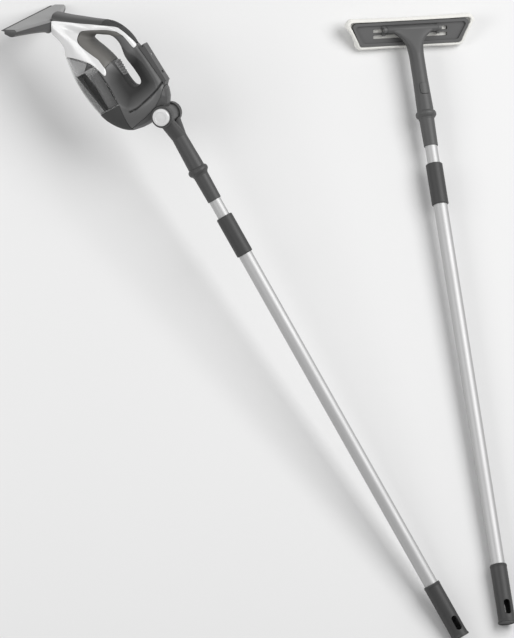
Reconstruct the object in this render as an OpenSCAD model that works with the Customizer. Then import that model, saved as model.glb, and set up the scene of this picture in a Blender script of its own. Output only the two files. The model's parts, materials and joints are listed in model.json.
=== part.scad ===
// Window cleaning pole system: a suction tool and a wash tool, each on its own telescopic pole.
// Both lie on the floor. Each tool is drawn along its pole first, head upwards, and then laid down.

/* [Telescopic pole] */
// Diameter of the outer tube
outer_d = 25; // [23:0.5:32]
// Step in diameter from the outer tube to the inner tube
tube_step = 3; // [2.6:0.1:4]
// Wall of both tubes
tube_wall = 1; // [0.8:0.1:1.2]
// Length of the outer tube
outer_l = 781; // [500:1:1100]
// Length of the inner tube
inner_l = 790; // [500:1:1100]
// Inner tube that shows between the ferrule and the lock sleeve
inner_show = 33; // [31:1:120]
// Length of the lock sleeve
sleeve_l = 76; // [64:1:110]
// Wall of the lock sleeve over the outer tube
sleeve_wall = 2.5; // [2:0.1:4]
// Length of the hand grip
grip_l = 107; // [90:1:160]
// Wall of the hand grip over the outer tube
grip_wall = 2.5; // [2:0.1:4]
// Width of the hanging slot in the hand grip
hang_slot_w = 11.5; // [8:0.5:14]
// Length of the hanging slot in the hand grip
hang_slot_l = 27; // [18:1:34]

/* [Coupling] */
// Length of the ferrule below the coupling face
ferrule_l = 65; // [50:1:90]
// Height of the collar ring
collar_h = 11; // [8:0.5:16]
// How far the collar ring stands out from the neck
collar_proud = 4; // [2:0.5:6]
// Diameter of the spigot inside a tool's neck
spigot_d = 20; // [19:0.5:22]
// Length of the spigot
spigot_l = 58; // [56:1:70]
// Width of the push button
button_w = 15; // [12:0.5:16]
// Height of the push button
button_h = 20; // [16:0.5:24]
// Height of the push button above the coupling face
button_up = 40; // [34:1:44]
// Travel of the push button
button_travel = 2.5; // [1.5:0.1:3]

/* [Tilt hinge] */
// Length of the suction tool's neck from the pivot to the coupling face
fork_l = 107.5; // [104:0.5:140]
// Outside diameter of both necks at their thin end
neck_d = 27; // [26:0.5:32]
// Radius of the hinge cheeks
cheek_r = 19.5; // [18:0.5:24]
// Thickness of a hinge cheek
cheek_t = 11; // [9:0.5:14]
// Width of the cradle barrel between the cheeks
barrel_w = 33; // [28:0.5:40]
// Diameter of the pivot pin
pivot_d = 8; // [6:0.5:10]
// Radius of the lock knob
knob_r = 15.4; // [12:0.1:16]

/* [Suction tool] */
// Width of the squeegee head
head_w = 270; // [200:2:340]
// Length of head at its ends, from the back edge to the blade
head_end_l = 27; // [22:1:36]
// Wall of the casing
case_wall = 2.6; // [2.2:0.1:3.2]
// Thickness of the white side panels
panel_t = 1.4; // [1:0.1:1.6]
// Wall of the water tank
tank_wall = 2; // [1.5:0.1:2.6]
// How far the rubber blade stands out of the head
blade_out = 6.5; // [4:0.5:9]

/* [Wash tool] */
// Length of the wash tool's neck from the pad hinge to the coupling face
yoke_l = 155; // [145:1:200]
// Width of the neck's fan at the pad hinge
fan_w = 96; // [70:1:120]
// Width of the cloth pad along its leading edge
pad_front_w = 246; // [200:2:320]
// Width of the cloth pad along its trailing edge
pad_back_w = 210; // [160:2:280]
// Depth of the cloth pad
pad_depth = 62; // [58:1:110]
// Width of the cloth rim that shows round the plate
pad_rim = 10; // [7:0.5:14]
// Thickness of the cloth under the plate
pad_t = 12; // [8:0.5:18]
// Angle between the pole and the pad's back
pad_lean = 62; // [50:0.5:75]

/* [Layout on the floor] */
// Turn of the suction tool on the floor
suction_yaw = 24.7; // [10:0.1:40]
// Roll of the suction tool about its pole
suction_roll = 46; // [20:0.5:70]
// Place of the tilt pivot along x
suction_x = -181.1; // [-400:0.1:0]
// Place of the tilt pivot along y
suction_y = 345.8; // [200:0.1:500]
// Place of the pad hinge along x
wash_x = 346.9; // [200:0.1:600]
// Place of the pad hinge along y
wash_y = 518.8; // [300:0.1:700]

/* [Hidden] */
// Fits, as gaps on the radius or between faces
running_gap = 0.05;
press_gap = 0.02;
moving_gap = 0.4;
seat_gap = 0.3;

// Pole, measured down from the coupling face
inner_d = outer_d - tube_step;
inner_bore = inner_d - 2 * tube_wall;
outer_bore = outer_d - 2 * tube_wall;
tube_stop = 5;
sleeve_top = ferrule_l + inner_show;
collet_h = 17;
collet_top = sleeve_top + 8;
outer_top = collet_top + collet_h;
outer_end = outer_top + outer_l;
slot_margin = 13;
slot_past_tube = 5;
grip_end = outer_end + slot_past_tube + hang_slot_l + slot_margin;
grip_top = grip_end - grip_l;
sleeve_d = outer_d + 2 * sleeve_wall;
grip_d = outer_d + 2 * grip_wall;
bush_l = 17;
collar_d = neck_d + 2 + 2 * collar_proud;
neck_low_d = neck_d + 3;
stem_d = 9;
spring_r = 2.2;
pocket_floor = spigot_d / 2 - 3.6;

// Tilt hinge
cheek_in = barrel_w / 2 + seat_gap;
cheek_out = cheek_in + cheek_t;
barrel_r = cheek_r - 2.5;
knob_travel = 2.5;
knob_sunk = 1.2;
knob_recess = knob_travel + knob_sunk + seat_gap;
knob_h = 6;
knob_wall = 2;

// Sections of the suction tool's body round the finger loop:
// outer x, outer z, inner x, inner z, half width and how far the slope into the loop reaches
body_keys = [
    [20, 132, -5, 122, 16, 14], [13, 164, -7, 150, 16, 4], [-3, 190, -14, 167, 17, 0],
    [-34, 213, -27, 177, 20, 0], [-66, 236, -39, 184, 24, 0], [-126, 279, -48, 181, 26, 0],
    [-103, 203, -48, 172, 32, 0], [-109, 172, -42, 158, 36, 0], [-114, 130, -34, 135, 38, 14],
    [-111, 86, -30, 107, 38, 30], [-99, 40, -28, 86, 37, 36], [-72, 8, -25, 75, 36, 37],
    [-35, 0, -18, 70, 32, 36], [6, 8, -11, 71, 25, 36], [27, 38, -7, 79, 21, 38], [25, 90, -5, 97, 17, 28]];
loop_slope = 0.55;
body_square = 2.7;
section_steps = 3;
section_sides = 20;

// Outlines of the pieces of the body, seen from the side
white_keys = [
    [-92, 243], [-53, 217], [-19, 194], [4, 177], [13, 158], [19, 135], [16, 131], [12, 133], [7, 157],
    [-1, 170], [-14, 181], [-32, 191], [-46, 198], [-57, 201], [-66, 194], [-67, 183], [-60, 166],
    [-49, 143], [-46, 124], [-49, 114], [-53, 113], [-58, 129], [-64, 142], [-75, 155], [-90, 168],
    [-104, 176], [-120, 180], [-122, 200], [-120, 236]];
foot_top = 56;
tank_inlet = [-96, 171];
tank_inlet_r = 6;
tank_outline = [
    [-140, 182], [-104, 175.4], [-90, 167], [-75, 154], [-64, 141], [-58, 128], [-55.5, 108],
    [-55.5, foot_top], [-140, foot_top]];
foot_outline = [[-140, foot_top], [-55.5, foot_top], [-61, 8], [-63, -20], [-140, -20]];
insert_outline = [
    [-46, 124], [-22, 134], [-24, 150], [-12, 168], [7, 158], [0, 170.5], [-14, 181], [-32, 191],
    [-46, 198], [-57, 201], [-66, 194], [-67, 183], [-60, 166], [-49, 143]];
spine_outline = [[-110, 300], [-92, 243.5], [-53, 217.5], [-19, 194.5], [-12, 199], [4, 230]];
rubber_outline = [
    [-12, 199], [-19, 194.5], [4.5, 177.4], [13.6, 158.2], [19.6, 134.6], [40, 134.6], [40, 230], [4, 230]];
cradle_outline = [
    [-63, -20], [-61, 8], [-28, 13], [-2, 21], [14, 32], [33, 52], [60, 40], [40, -40], [-40, -40]];
clip_outline = [[16, 126], [25.5, 128], [26.2, 124.5], [28.2, 124.7], [28.6, 128.4], [31, 128],
    [34.5, 52], [31, 44], [18, 48], [18, 90]];
clip_half_w = 10;
clip_screw_z = [70, 106];

// Thumb button on the spine, and the ribbed switch in the loop
button_at = [2, 184.5];
button_turn = 47;
button_size = [22, 11];
button_push = 1.5;
trigger_at = [-32, 112];
trigger_size = [8, 11, 30];

// Inner works: the fan's axis and the battery cell along x
fan_at = [-77, 199];
fan_case_r = 19.4;
fan_case_y = [-17, 10];
fan_wheel_r = 16;
motor_r = 11;
motor_end = 15;
duct_side = -95;
duct_half_w = 22;
duct_t = 1.5;
separator_h = 66;
separator_r = 14;
cell_at = [-20, 42];
cell_r = 9.2;
cell_l = 65;
board_z = 58;
board_size = [46, 22, 1.6];
rib_x = [-40, 0];
rib_t = 2;
skin_fit = 0.15;

// Joint between the body and the squeegee head, and the head's own directions
head_at = [-98, 236];
head_out = [-0.88, 0.475];
head_up = [0.475, 0.88];
neck_half_w = 24;
head_tip = 55.5;
head_top = 11;
head_end_t = 13;
head_neck_t = 25;
head_wall = 2;
head_cap_t = 3;
head_root = seat_gap;
head_lip_t = 7.5;
head_part = head_top - 4;
head_bend_t = 12;

// Fan of the wash tool's neck, and how far it steps in from the stem and the hinge barrel
fan_h = 50;
fan_step = 0.4;

// Pad frame, measured from the pad hinge
hinge_lift = 6;
hinge_ahead = 8;
plate_t = 8;
recess_depth = 4;
recess_margin = 5;
plate_front_w = pad_front_w - 2 * pad_rim;
plate_back_w = pad_back_w - 2 * pad_rim;
plate_depth = pad_depth - 2 * pad_rim;
hinge_r = 6;
hinge_pin_d = 5;
lug_t = 6;
lug_foot = 12;
wash_slot_l = 140;
wash_slot_w = 7;
wash_slot_r = 2.5;
wash_slot_pitch = 11;
hook_l = 150;
hook_w = 8;
hook_t = 0.6;
pad_waist = 1.5;

// Cloth pad's cross-section: inset from the rim, and height above the lowest face
pad_profile = [[24, 0], [12, 0.5], [6, 1.5], [2, 3.4], [0.3, 6], [0, 10]];
pad_low = -plate_t - pad_t;

// Both tools rest on the grip's flared end and on the lowest point of the head
grip_flare = 1.5;
grip_edge = 0.8;
rest_r = grip_d / 2 + grip_flare;
suction_tail = fork_l + grip_end - grip_edge;
wash_tail = yoke_l + grip_end - grip_edge;
suction_down = [-sin(suction_roll), cos(suction_roll)];
blade_end = head_point(head_tip, head_w / 2 - head_cap_t, head_top - 2.2);
suction_rise = max([for (p = concat(head_ring(head_w / 2, 0), [blade_end]))
    rest_rise([p[0], p[1]] * suction_down, p[2], suction_tail)]);
suction_at = rest_at(suction_x, suction_y, suction_tail, suction_rise);
wash_rise = max([for (e = pad_profile) let (p = pad_point(-pad_depth / 2 + e[0], pad_low + e[1]))
    rest_rise(p[0], p[1], wash_tail)]);
wash_at = rest_at(wash_x, wash_y, wash_tail, wash_rise);

// Colours
DARK = [0.25, 0.25, 0.26];
MID = [0.33, 0.33, 0.34];
SOFT = [0.18, 0.18, 0.19];
PALE = [0.92, 0.92, 0.91];
TAUPE = [0.38, 0.37, 0.36];
ALUMINIUM = [0.80, 0.81, 0.82];
STEEL = [0.62, 0.63, 0.65];
SMOKE = [0.30, 0.30, 0.31, 0.6];
CLOTH = [0.92, 0.91, 0.86];

$fn = 64;

// Rise of a pole that rests on its grip and on a point of the head, and where its pivot then lies
function rest_rise(drop, ahead, tail) = atan((drop - rest_r) / (ahead + tail));

function rest_at(x, y, tail, rise) = [x, y, tail * sin(rise) + rest_r * cos(rise)];

// Curves and lofts

// Point on the smooth curve through b and c, with neighbours a and d
function spline_at(a, b, c, d, t) =
    0.5 * (2 * b + (c - a) * t + (2 * a - 5 * b + 4 * c - d) * t * t + (3 * b - a - 3 * c + d) * t * t * t);

// Smooth closed curve through the keys
function loop_curve(keys, steps) = let (n = len(keys))
    [for (i = [0:n - 1]) for (s = [0:steps - 1])
        spline_at(keys[(i + n - 1) % n], keys[i], keys[(i + 1) % n], keys[(i + 2) % n], s / steps)];

// Signed power, the corner of a superellipse
function bend(v, square) = sign(v) * pow(abs(v), 2 / square);

// Skin over rings of equal length, closed along the rings
function ring_faces(rings, sides, first, last) =
    [for (i = [first:last]) for (j = [0:sides - 1]) let (
            k = (i + 1) % rings, m = (j + 1) % sides, a = i * sides + j, c = k * sides + m)
        each [[a, k * sides + j, c], [a, c, i * sides + m]]];

module loft(rings) {
    n = len(rings);
    m = len(rings[0]);
    caps = [[for (j = [0:m - 1]) j], [for (j = [m - 1:-1:0]) (n - 1) * m + j]];
    polyhedron([for (r = rings) each r], concat(ring_faces(n, m, 0, n - 2), caps), convexity = 6);
}

module ring_loft(rings) {
    n = len(rings);
    polyhedron([for (r = rings) each r], ring_faces(n, len(rings[0]), 0, n - 1), convexity = 6);
}

// A moulded form is kept as one smooth mesh
module moulded() {
    resize([0, 0, 0])
        children();
}

// An outline in the x-z plane, grown or shrunk, as a prism across the tool
module across(points, half = 60, grow = 0) {
    rotate([90, 0, 0])
        translate([0, 0, -half])
            linear_extrude(2 * half)
                offset(delta = grow)
                    polygon(points);
}

// A cylinder along y from y0 to y1
module pin_y(r, y0, y1) {
    translate([0, y1, 0])
        rotate([90, 0, 0])
            cylinder(r = r, h = y1 - y0);
}

// A cylinder along x, centred
module pin_x(r, l) {
    rotate([0, 90, 0])
        cylinder(r = r, h = l, center = true);
}

// A plain tube from z1 down to z0
module tube(d, bore, z0, z1) {
    translate([0, 0, z0])
        difference() {
            cylinder(d = d, h = z1 - z0);
            translate([0, 0, -1])
                cylinder(d = bore, h = z1 - z0 + 2);
        }
}

// A rounded rectangle, centred, with true arcs
module rounded(w, h, r) {
    square([w - 2 * r, h], center = true);
    square([w, h - 2 * r], center = true);
    for (x = [-1, 1], y = [-1, 1])
        translate([x * (w / 2 - r), y * (h / 2 - r)])
            circle(r);
}

// A helical spring along z, as one swept wire
module coil(r, wire_r, length, turns) {
    per_turn = 8;
    sides = 5;
    count = turns * per_turn;
    loft([for (i = [0:count]) let (a = 360 * i / per_turn, z = length * i / count)
        [for (j = [0:sides - 1]) let (b = 360 * j / sides, q = r + wire_r * cos(b))
            [q * cos(a), q * sin(a), z + wire_r * sin(b)]]]);
}

// Placement of the two tools

module place_suction() {
    translate(suction_at)
        rotate([0, 0, suction_yaw])
            rotate([suction_rise, 0, 0])
                rotate([-90, 0, 0])
                    rotate([0, 0, -suction_roll])
                        children();
}

module place_wash() {
    translate(wash_at)
        rotate([wash_rise, 0, 0])
            rotate([-90, 0, 0])
                children();
}

module suction_pole() {
    place_suction()
        translate([0, 0, -fork_l])
            children();
}

module wash_pole() {
    place_wash()
        translate([0, 0, -yoke_l])
            children();
}

// Telescopic pole, with z = 0 at the coupling face

module outer_tube() {
    color(ALUMINIUM)
        tube(outer_d, outer_bore, -outer_end, -outer_top);
}

module inner_tube() {
    color(ALUMINIUM)
        tube(inner_d, inner_bore, -tube_stop - inner_l, -tube_stop);
}

module lock_sleeve() {
    bottom = -sleeve_top - sleeve_l;
    mouth_r = inner_d / 2 + moving_gap;
    room_r = outer_d / 2 + 0.9;
    edge = 1.5;
    r = sleeve_d / 2;
    color(DARK)
        rotate_extrude()
            polygon([
                [mouth_r, -sleeve_top], [r - edge, -sleeve_top], [r, -sleeve_top - edge],
                [r, bottom + edge], [r - 0.5 * edge, bottom], [outer_d / 2 + running_gap, bottom],
                [outer_d / 2 + running_gap, -outer_top - moving_gap], [room_r, -outer_top - moving_gap],
                [room_r, -collet_top - 3], [inner_d / 2 + 1.5, -collet_top + moving_gap],
                [mouth_r, -collet_top + moving_gap]]);
}

// Split collet that the lock sleeve closes on the inner tube
module collet() {
    r = outer_d / 2 + 0.5;
    slit = 1.2;
    color(SOFT)
        difference() {
            rotate_extrude()
                polygon([
                    [inner_d / 2 + running_gap, -outer_top], [r, -outer_top], [r, -collet_top - 3.4],
                    [inner_d / 2 + 1.1, -collet_top], [inner_d / 2 + running_gap, -collet_top]]);
            for (a = [0, 60, 120])
                rotate([0, 0, a])
                    translate([-r - 1, -slit / 2, -outer_top + 4])
                        cube([2 * r + 2, slit, collet_h]);
        }
}

// Bush that guides the inner tube's end in the outer tube
module guide_bush() {
    end = -tube_stop - inner_l;
    r = outer_bore / 2 - running_gap;
    color(SOFT)
        rotate_extrude()
            polygon([
                [inner_bore / 2 - 2, end - bush_l], [r - 0.8, end - bush_l], [r, end - bush_l + 0.8],
                [r, end], [inner_bore / 2 - press_gap, end], [inner_bore / 2 - press_gap, end + bush_l],
                [inner_bore / 2 - 2, end + bush_l]]);
}

// Where the push button goes through a neck, as seen from outside
module button_way(grow, depth) {
    translate([0, 0, button_up])
        rotate([90, 0, 0])
            translate([0, 0, depth])
                linear_extrude(neck_d)
                    rounded(button_w + 2 * grow, button_h + 2 * grow, 4 + grow);
}

// Ferrule with the collar ring, the tapered skirt and the spigot for the tool's neck
module ferrule() {
    r = collar_d / 2;
    skirt_r = neck_d / 2;
    end_r = inner_d / 2 + 1.25;
    hole_r = inner_d / 2 + press_gap;
    color(MID)
        difference() {
            rotate_extrude()
                polygon([
                    [hole_r, -ferrule_l], [end_r, -ferrule_l], [end_r + 0.4, -ferrule_l + 1],
                    [skirt_r, -collar_h - 5], [skirt_r + 1, -collar_h - 2], [r - 1.2, -collar_h + 1],
                    [r, -collar_h + 3.5], [r, -4], [r - 1.2, -1.5], [neck_low_d / 2 + 0.6, 0],
                    [spigot_d / 2, 0],
                    [spigot_d / 2, spigot_l - 2], [spigot_d / 2 - 2, spigot_l], [0, spigot_l],
                    [0, -tube_stop], [hole_r, -tube_stop]]);
            button_way(moving_gap, pocket_floor);
            translate([0, 0, button_up])
                pin_y(stem_d / 2 + running_gap, -spigot_d, 4.5);
        }
}

// Push button in the neck's window, with its stem in the spigot
module coupling_button() {
    face = neck_d / 2 + 1.6;
    color(DARK)
        difference() {
            union() {
                intersection() {
                    button_way(0, pocket_floor + button_travel + 0.4);
                    translate([0, 0, button_up - button_h])
                        cylinder(r = face, h = 2 * button_h);
                }
                translate([0, 0, button_up])
                    pin_y(stem_d / 2, -pocket_floor - button_travel - 1, 4.2 - button_travel);
            }
            translate([0, 0, button_up])
                pin_y(spring_r + 1, -5, 5);
        }
}

module button_spring() {
    color(STEEL)
        translate([0, 4.5 - 0.6, button_up])
            rotate([90, 0, 0])
                coil(spring_r, 0.4, 7.8, 5);
}

// The push button's side is the front, or the back when flip is 1
module button_side(flip) {
    rotate([0, 0, 180 * flip])
        children();
}

// Hand grip with a flared end and the hanging slot, turned about the pole
module hand_grip(turn) {
    r = grip_d / 2;
    rim = grip_flare;
    wall = 3.4;
    color(DARK)
        difference() {
            rotate_extrude()
                polygon([
                    [outer_d / 2 + press_gap, -outer_end - 0.5], [outer_d / 2 + press_gap, -grip_top],
                    [r - 0.6, -grip_top], [r + 0.6, -grip_top - 2.5], [r, -grip_top - 6],
                    [r, -grip_end + 14], [r + 0.4, -grip_end + 6], [r + rim, -grip_end + 2.5],
                    [r + rim, -grip_end + grip_edge], [r + rim - grip_edge, -grip_end],
                    [r - wall + 1, -grip_end],
                    [r - wall + 1, -grip_end + 6], [r - wall, -grip_end + 6], [r - wall, -outer_end - 0.5]]);
            rotate([0, 0, turn])
                translate([0, 0, -grip_end + slot_margin + hang_slot_l / 2])
                    rotate([90, 0, 0])
                        linear_extrude(2 * grip_d, center = true)
                            rounded(hang_slot_w, hang_slot_l, hang_slot_w / 2 - 0.5);
        }
}

module end_cap() {
    r = grip_d / 2 - 2.4 - press_gap;
    color(MID)
        rotate_extrude()
            polygon([
                [0, -grip_end + 0.6], [r - 0.6, -grip_end + 0.6], [r, -grip_end + 1.2],
                [r, -grip_end + 6], [r - 2, -grip_end + 6], [r - 2, -grip_end + 3], [0, -grip_end + 3]]);
}

// Neck that takes the spigot: a tapered tube with the push button's window, top at z = top
module neck_socket(top, foot) {
    difference() {
        translate([0, 0, foot])
            cylinder(d1 = neck_low_d, d2 = neck_d, h = top - foot);
        translate([0, 0, foot - 1])
            cylinder(d = spigot_d + 2 * running_gap, h = spigot_l + 1 + seat_gap);
        translate([0, 0, foot])
            button_way(moving_gap, 0);
    }
}

// Tilt hinge of the suction tool, with the pivot along y at the origin

module fork_neck() {
    stem_top = -fork_l + spigot_l + 4;
    color(MID)
        difference() {
            union() {
                button_side(1)
                    neck_socket(stem_top, -fork_l);
                for (side = [-1, 1])
                    fork_cheek(side, stem_top);
            }
            pin_y(barrel_r + 1.5, -cheek_in, cheek_in);
            pin_y(pivot_d / 2 + press_gap, -cheek_out - 1, cheek_out + 1);
            pin_y(knob_r + 0.3, -cheek_out - 1, -cheek_out + knob_recess);
        }
}

// A round cheek, and the arm that runs down from it into the stem
module fork_cheek(side, stem_top) {
    y0 = side > 0 ? cheek_in : -cheek_out;
    arm_r = neck_d / 2 - 2;
    pin_y(cheek_r, y0, y0 + cheek_t);
    hull() {
        translate([0, y0 + cheek_t - 1, -4])
            rotate([90, 0, 0])
                cylinder(r = arm_r, h = cheek_t - 2, $fn = 32);
        translate([0, 0, stem_top - 0.5])
            cylinder(d = neck_d, h = 0.5, $fn = 32);
    }
}

module pivot_pin() {
    color(STEEL)
        difference() {
            pin_y(pivot_d / 2, -cheek_out + knob_recess, cheek_out);
            pin_y(1.5, cheek_out - 8, cheek_out + 1);
        }
}

// White push knob in the near cheek, hollow round its spring
module lock_knob() {
    face = cheek_out + knob_h;
    groove = face - knob_wall;
    low = cheek_out - knob_sunk;
    color(PALE)
        rotate([90, 0, 0])
            rotate_extrude()
                polygon([
                    [0, groove - 2], [knob_r - 6, groove - 2], [knob_r - 6, groove], [knob_r - 2, groove],
                    [knob_r - 2, low], [knob_r, low], [knob_r, face - 2], [knob_r - 0.8, face - 0.7],
                    [knob_r - 2, face], [knob_r - 5.2, face + 0.3], [knob_r - 5.8, face - 0.5],
                    [0, face + 0.1]]);
}

module knob_spring() {
    wire_r = 0.6;
    room = knob_h - knob_wall + knob_recess;
    color(STEEL)
        translate([0, -cheek_out + knob_recess - wire_r - 0.1, 0])
            rotate([90, 0, 0])
                coil(knob_r - 4, wire_r, room - 2 * wire_r - 0.2, 3);
}

// Round cap over the pin's far end
module pin_cap() {
    r = cheek_r - 2.5;
    color(DARK)
        rotate([-90, 0, 0])
            rotate_extrude()
                polygon([
                    [0, cheek_out + 3], [r - 3, cheek_out + 3], [r - 0.8, cheek_out + 2.2],
                    [r, cheek_out + 0.8],
                    [r, cheek_out], [1.5 - press_gap, cheek_out], [1.5 - press_gap, cheek_out - 7],
                    [0, cheek_out - 7]]);
}

// Body of the suction tool: closed loft round the finger loop

function body_point(k, angle, inset) = let (
        out = [k[0], k[1]], in = [k[2], k[3]],
        reach = norm(out - in) / 2, mid = (out + in) / 2, along = (out - in) / (2 * reach),
        q = bend(cos(angle), body_square), w = bend(sin(angle), body_square),
        slope = max(0, 1 - reach * (1 + q) / max(k[5], 0.01)),
        p = mid + along * (reach - inset) * q)
    [p[0], (k[4] - inset) * sign(w) * min(abs(w), 1 - loop_slope * slope), p[1]];

module body_solid(inset) {
    steps = inset > 2 ? section_steps - 1 : section_steps;
    sides = inset > 2 ? section_sides - 8 : section_sides;
    ring_loft([for (k = loop_curve(body_keys, steps)) [for (j = [0:sides - 1])
        body_point(k, 360 * j / sides, inset)]]);
}

// Everything past the joint with the squeegee head
module past_neck(back) {
    far = 200;
    start = head_at + back * head_out;
    across([start + far * head_up, start - far * head_up, start - far * head_up + far * head_out,
        start + far * head_up + far * head_out], 100);
}

white_outline = loop_curve(white_keys, 3);

module groove_prism() {
    path = [[-45, 35], [-30, 34.5], [-15, 38.5], [16, 46.5], [29, 54]];
    for (i = [0:len(path) - 2])
        hull()
            for (p = [path[i], path[i + 1]])
                translate([p[0], 60, p[1]])
                    rotate([90, 0, 0])
                        cylinder(r = 1, h = 120, $fn = 16);
}

// What is cut out of both casing halves
module casing_cuts() {
    past_neck(0);
    across(tank_outline);
    across(foot_outline);
    across(insert_outline);
    across(spine_outline);
    across(rubber_outline);
    across(cradle_outline);
    intersection() {
        across(white_outline, grow = skin_fit);
        difference() {
            body_solid(-2);
            body_solid(panel_t);
        }
    }
    intersection() {
        groove_prism();
        difference() {
            body_solid(-2);
            body_solid(1.2);
        }
    }
    button_prism(moving_gap);
    for (x = [0, trigger_size[0] / 2])
        translate([x, 0, 0])
            trigger_block(moving_gap);
}

// Ribs and cups inside the casing that hold the inner works
module casing_seats() {
    rib_low = cell_at[1] - cell_r - 4;
    rib_high = board_z + 5;
    difference() {
        union() {
            for (x = rib_x)
                translate([x - rib_t / 2, -60, rib_low])
                    cube([rib_t, 120, rib_high - rib_low]);
            translate([fan_at[0], 0, fan_at[1]]) {
                pin_y(fan_case_r + 2.2, -60, fan_case_y[0] + 5);
                pin_y(motor_r + 2.2, fan_case_y[1] + seat_gap, 60);
            }
        }
        translate([cell_at[0], 0, cell_at[1]])
            pin_x(cell_r + seat_gap, cell_l + 2);
        translate([cell_at[0], 0, board_z])
            cube(board_size + seat_gap * [1, 1, 1], center = true);
        translate([fan_at[0], 0, fan_at[1]]) {
            pin_y(fan_case_r + seat_gap, fan_case_y[0] - seat_gap, 0);
            pin_y(fan_case_r - 3, -60, 0);
            pin_y(motor_r + seat_gap, 0, motor_end + seat_gap);
            pin_y(motor_r - 3, 0, 60);
        }
        translate([duct_side - 100, -60, 100])
            cube([100, 120, 200]);
    }
}

module casing(side) {
    color(DARK)
        moulded()
            intersection() {
                difference() {
                    union() {
                        difference() {
                            body_solid(0);
                            body_solid(case_wall);
                        }
                        intersection() {
                            body_solid(1);
                            casing_seats();
                        }
                    }
                    casing_cuts();
                }
                translate([-200, side > 0 ? 0 : -100, -50])
                    cube([300, 100, 400]);
            }
}

module housing_near() casing(-1);

module housing_far() casing(1);

module panel(side) {
    color(PALE)
        moulded()
            intersection() {
                difference() {
                    body_solid(-0.5);
                    body_solid(panel_t - 0.1);
                    past_neck(0);
                    across(insert_outline);
                    across(spine_outline);
                    across(rubber_outline);
                    across(tank_outline);
                }
                across(white_outline);
                translate([-200, side > 0 ? 0.05 : -100.05, -50])
                    cube([300, 100, 400]);
            }
}

module panel_near() panel(-1);

module panel_far() panel(1);

// A piece of the body's skin inside an outline
module skin_piece(points, thick, proud) {
    moulded()
        intersection() {
            difference() {
                body_solid(-proud);
                body_solid(thick);
            }
            across(points, grow = -skin_fit);
        }
}

module grip_insert() {
    color(TAUPE)
        skin_piece(insert_outline, case_wall, 0);
}

module spine_cover() {
    color(MID)
        difference() {
            skin_piece(spine_outline, case_wall, 0.3);
            past_neck(-0.2);
        }
}

module grip_rubber() {
    color(SOFT)
        moulded()
            difference() {
                skin_piece(rubber_outline, case_wall, 0.6);
                button_prism(moving_gap);
            }
}

// The thumb button's way through the rubber
module button_prism(grow) {
    depth = 6;
    translate([button_at[0], 0, button_at[1]])
        rotate([0, button_turn, 0])
            translate([0, 0, -depth])
                linear_extrude(2 * depth)
                    offset(r = button_size[1] / 2 - 1 + grow, $fn = 32)
                        square([button_size[0] - button_size[1] + 2, 2], center = true);
}

module power_button() {
    color(SOFT)
        moulded()
            intersection() {
                difference() {
                    body_solid(-button_push);
                    body_solid(case_wall + 1);
                }
                button_prism(0);
            }
}

// Block of the ribbed switch, grown for its way through the casing
module trigger_block(grow) {
    translate([trigger_at[0] + 2 - trigger_size[0] / 2, 0, trigger_at[1]])
        cube(trigger_size + 2 * grow * [1, 1, 1], center = true);
}

module trigger_switch() {
    ribs = 6;
    pitch = trigger_size[2] / ribs;
    color(SOFT) {
        trigger_block(0);
        for (i = [0:ribs - 1])
            translate([trigger_at[0] + 2, 0, trigger_at[1] + pitch * (i - (ribs - 1) / 2)])
                pin_y(1, -trigger_size[1] / 2, trigger_size[1] / 2, $fn = 24);
    }
}

// A closed vessel between the body's skin and an outline
module vessel(points) {
    difference() {
        intersection() {
            body_solid(0);
            across(points, grow = -skin_fit);
        }
        intersection() {
            body_solid(tank_wall);
            across(points, grow = -tank_wall);
        }
    }
}

// Clear water tank in the front of the body
module tank() {
    color(SMOKE)
        moulded()
            difference() {
                vessel(tank_outline);
                translate([tank_inlet[0], 0, tank_inlet[1]])
                    cylinder(r = tank_inlet_r, h = 30, center = true, $fn = 32);
            }
}

module tank_foot() {
    color(SOFT)
        moulded()
            difference() {
                vessel(foot_outline);
                translate([-78, 0, foot_top])
                    cube([20, 24, 10], center = true);
            }
}

// Wedge-shaped baffle under the tank's roof
module tank_baffle() {
    color([0.68, 0.68, 0.68])
        moulded()
            intersection() {
                across([[-99, 190], [-74, 190], [-74, 147], [-86, 137], [-99, 137]], 25);
                across(tank_outline, grow = -tank_wall - seat_gap);
            }
}

module separator_tube() {
    color(SOFT)
        translate([-76, 0, foot_top + tank_wall + seat_gap])
            difference() {
                cylinder(r = separator_r, h = separator_h);
                translate([0, 0, 2])
                    cylinder(r = separator_r - 2, h = separator_h);
            }
}

// Inner works

module motor() {
    color(STEEL)
        translate([fan_at[0], 0, fan_at[1]]) {
            pin_y(motor_r, -4, motor_end);
            pin_y(1.5, -14, motor_end + 2);
        }
}

module fan() {
    color(PALE)
        translate([fan_at[0], 0, fan_at[1]])
            difference() {
                union() {
                    pin_y(fan_wheel_r, -14, -12.8);
                    pin_y(4, -14, -6);
                    for (i = [0:8])
                        rotate([0, 40 * i, 0])
                            translate([3, -13, -0.6])
                                cube([fan_wheel_r - 3.5, 6, 1.2]);
                }
                pin_y(1.5 + press_gap, -20, 0);
            }
}

module fan_housing() {
    color(DARK)
        translate([fan_at[0], 0, fan_at[1]])
            difference() {
                pin_y(fan_case_r, fan_case_y[0], fan_case_y[1]);
                pin_y(fan_wheel_r + 1, fan_case_y[0] + 2, -4.6);
                pin_y(motor_r + press_gap, -5, 20);
                pin_y(8, -20, -10);
            }
}

module suction_duct() {
    color(DARK)
        moulded()
            intersection() {
                difference() {
                    body_solid(case_wall + seat_gap);
                    body_solid(case_wall + seat_gap + duct_t);
                    past_neck(-seat_gap);
                }
                across([[-130, 240], [-104, 232], [duct_side - 1, 214], [duct_side - 1, 178], [-130, 176]],
                    duct_half_w);
            }
}

module battery_pack() {
    color([0.35, 0.42, 0.5])
        translate([cell_at[0], 0, cell_at[1]])
            pin_x(cell_r, cell_l);
}

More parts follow.
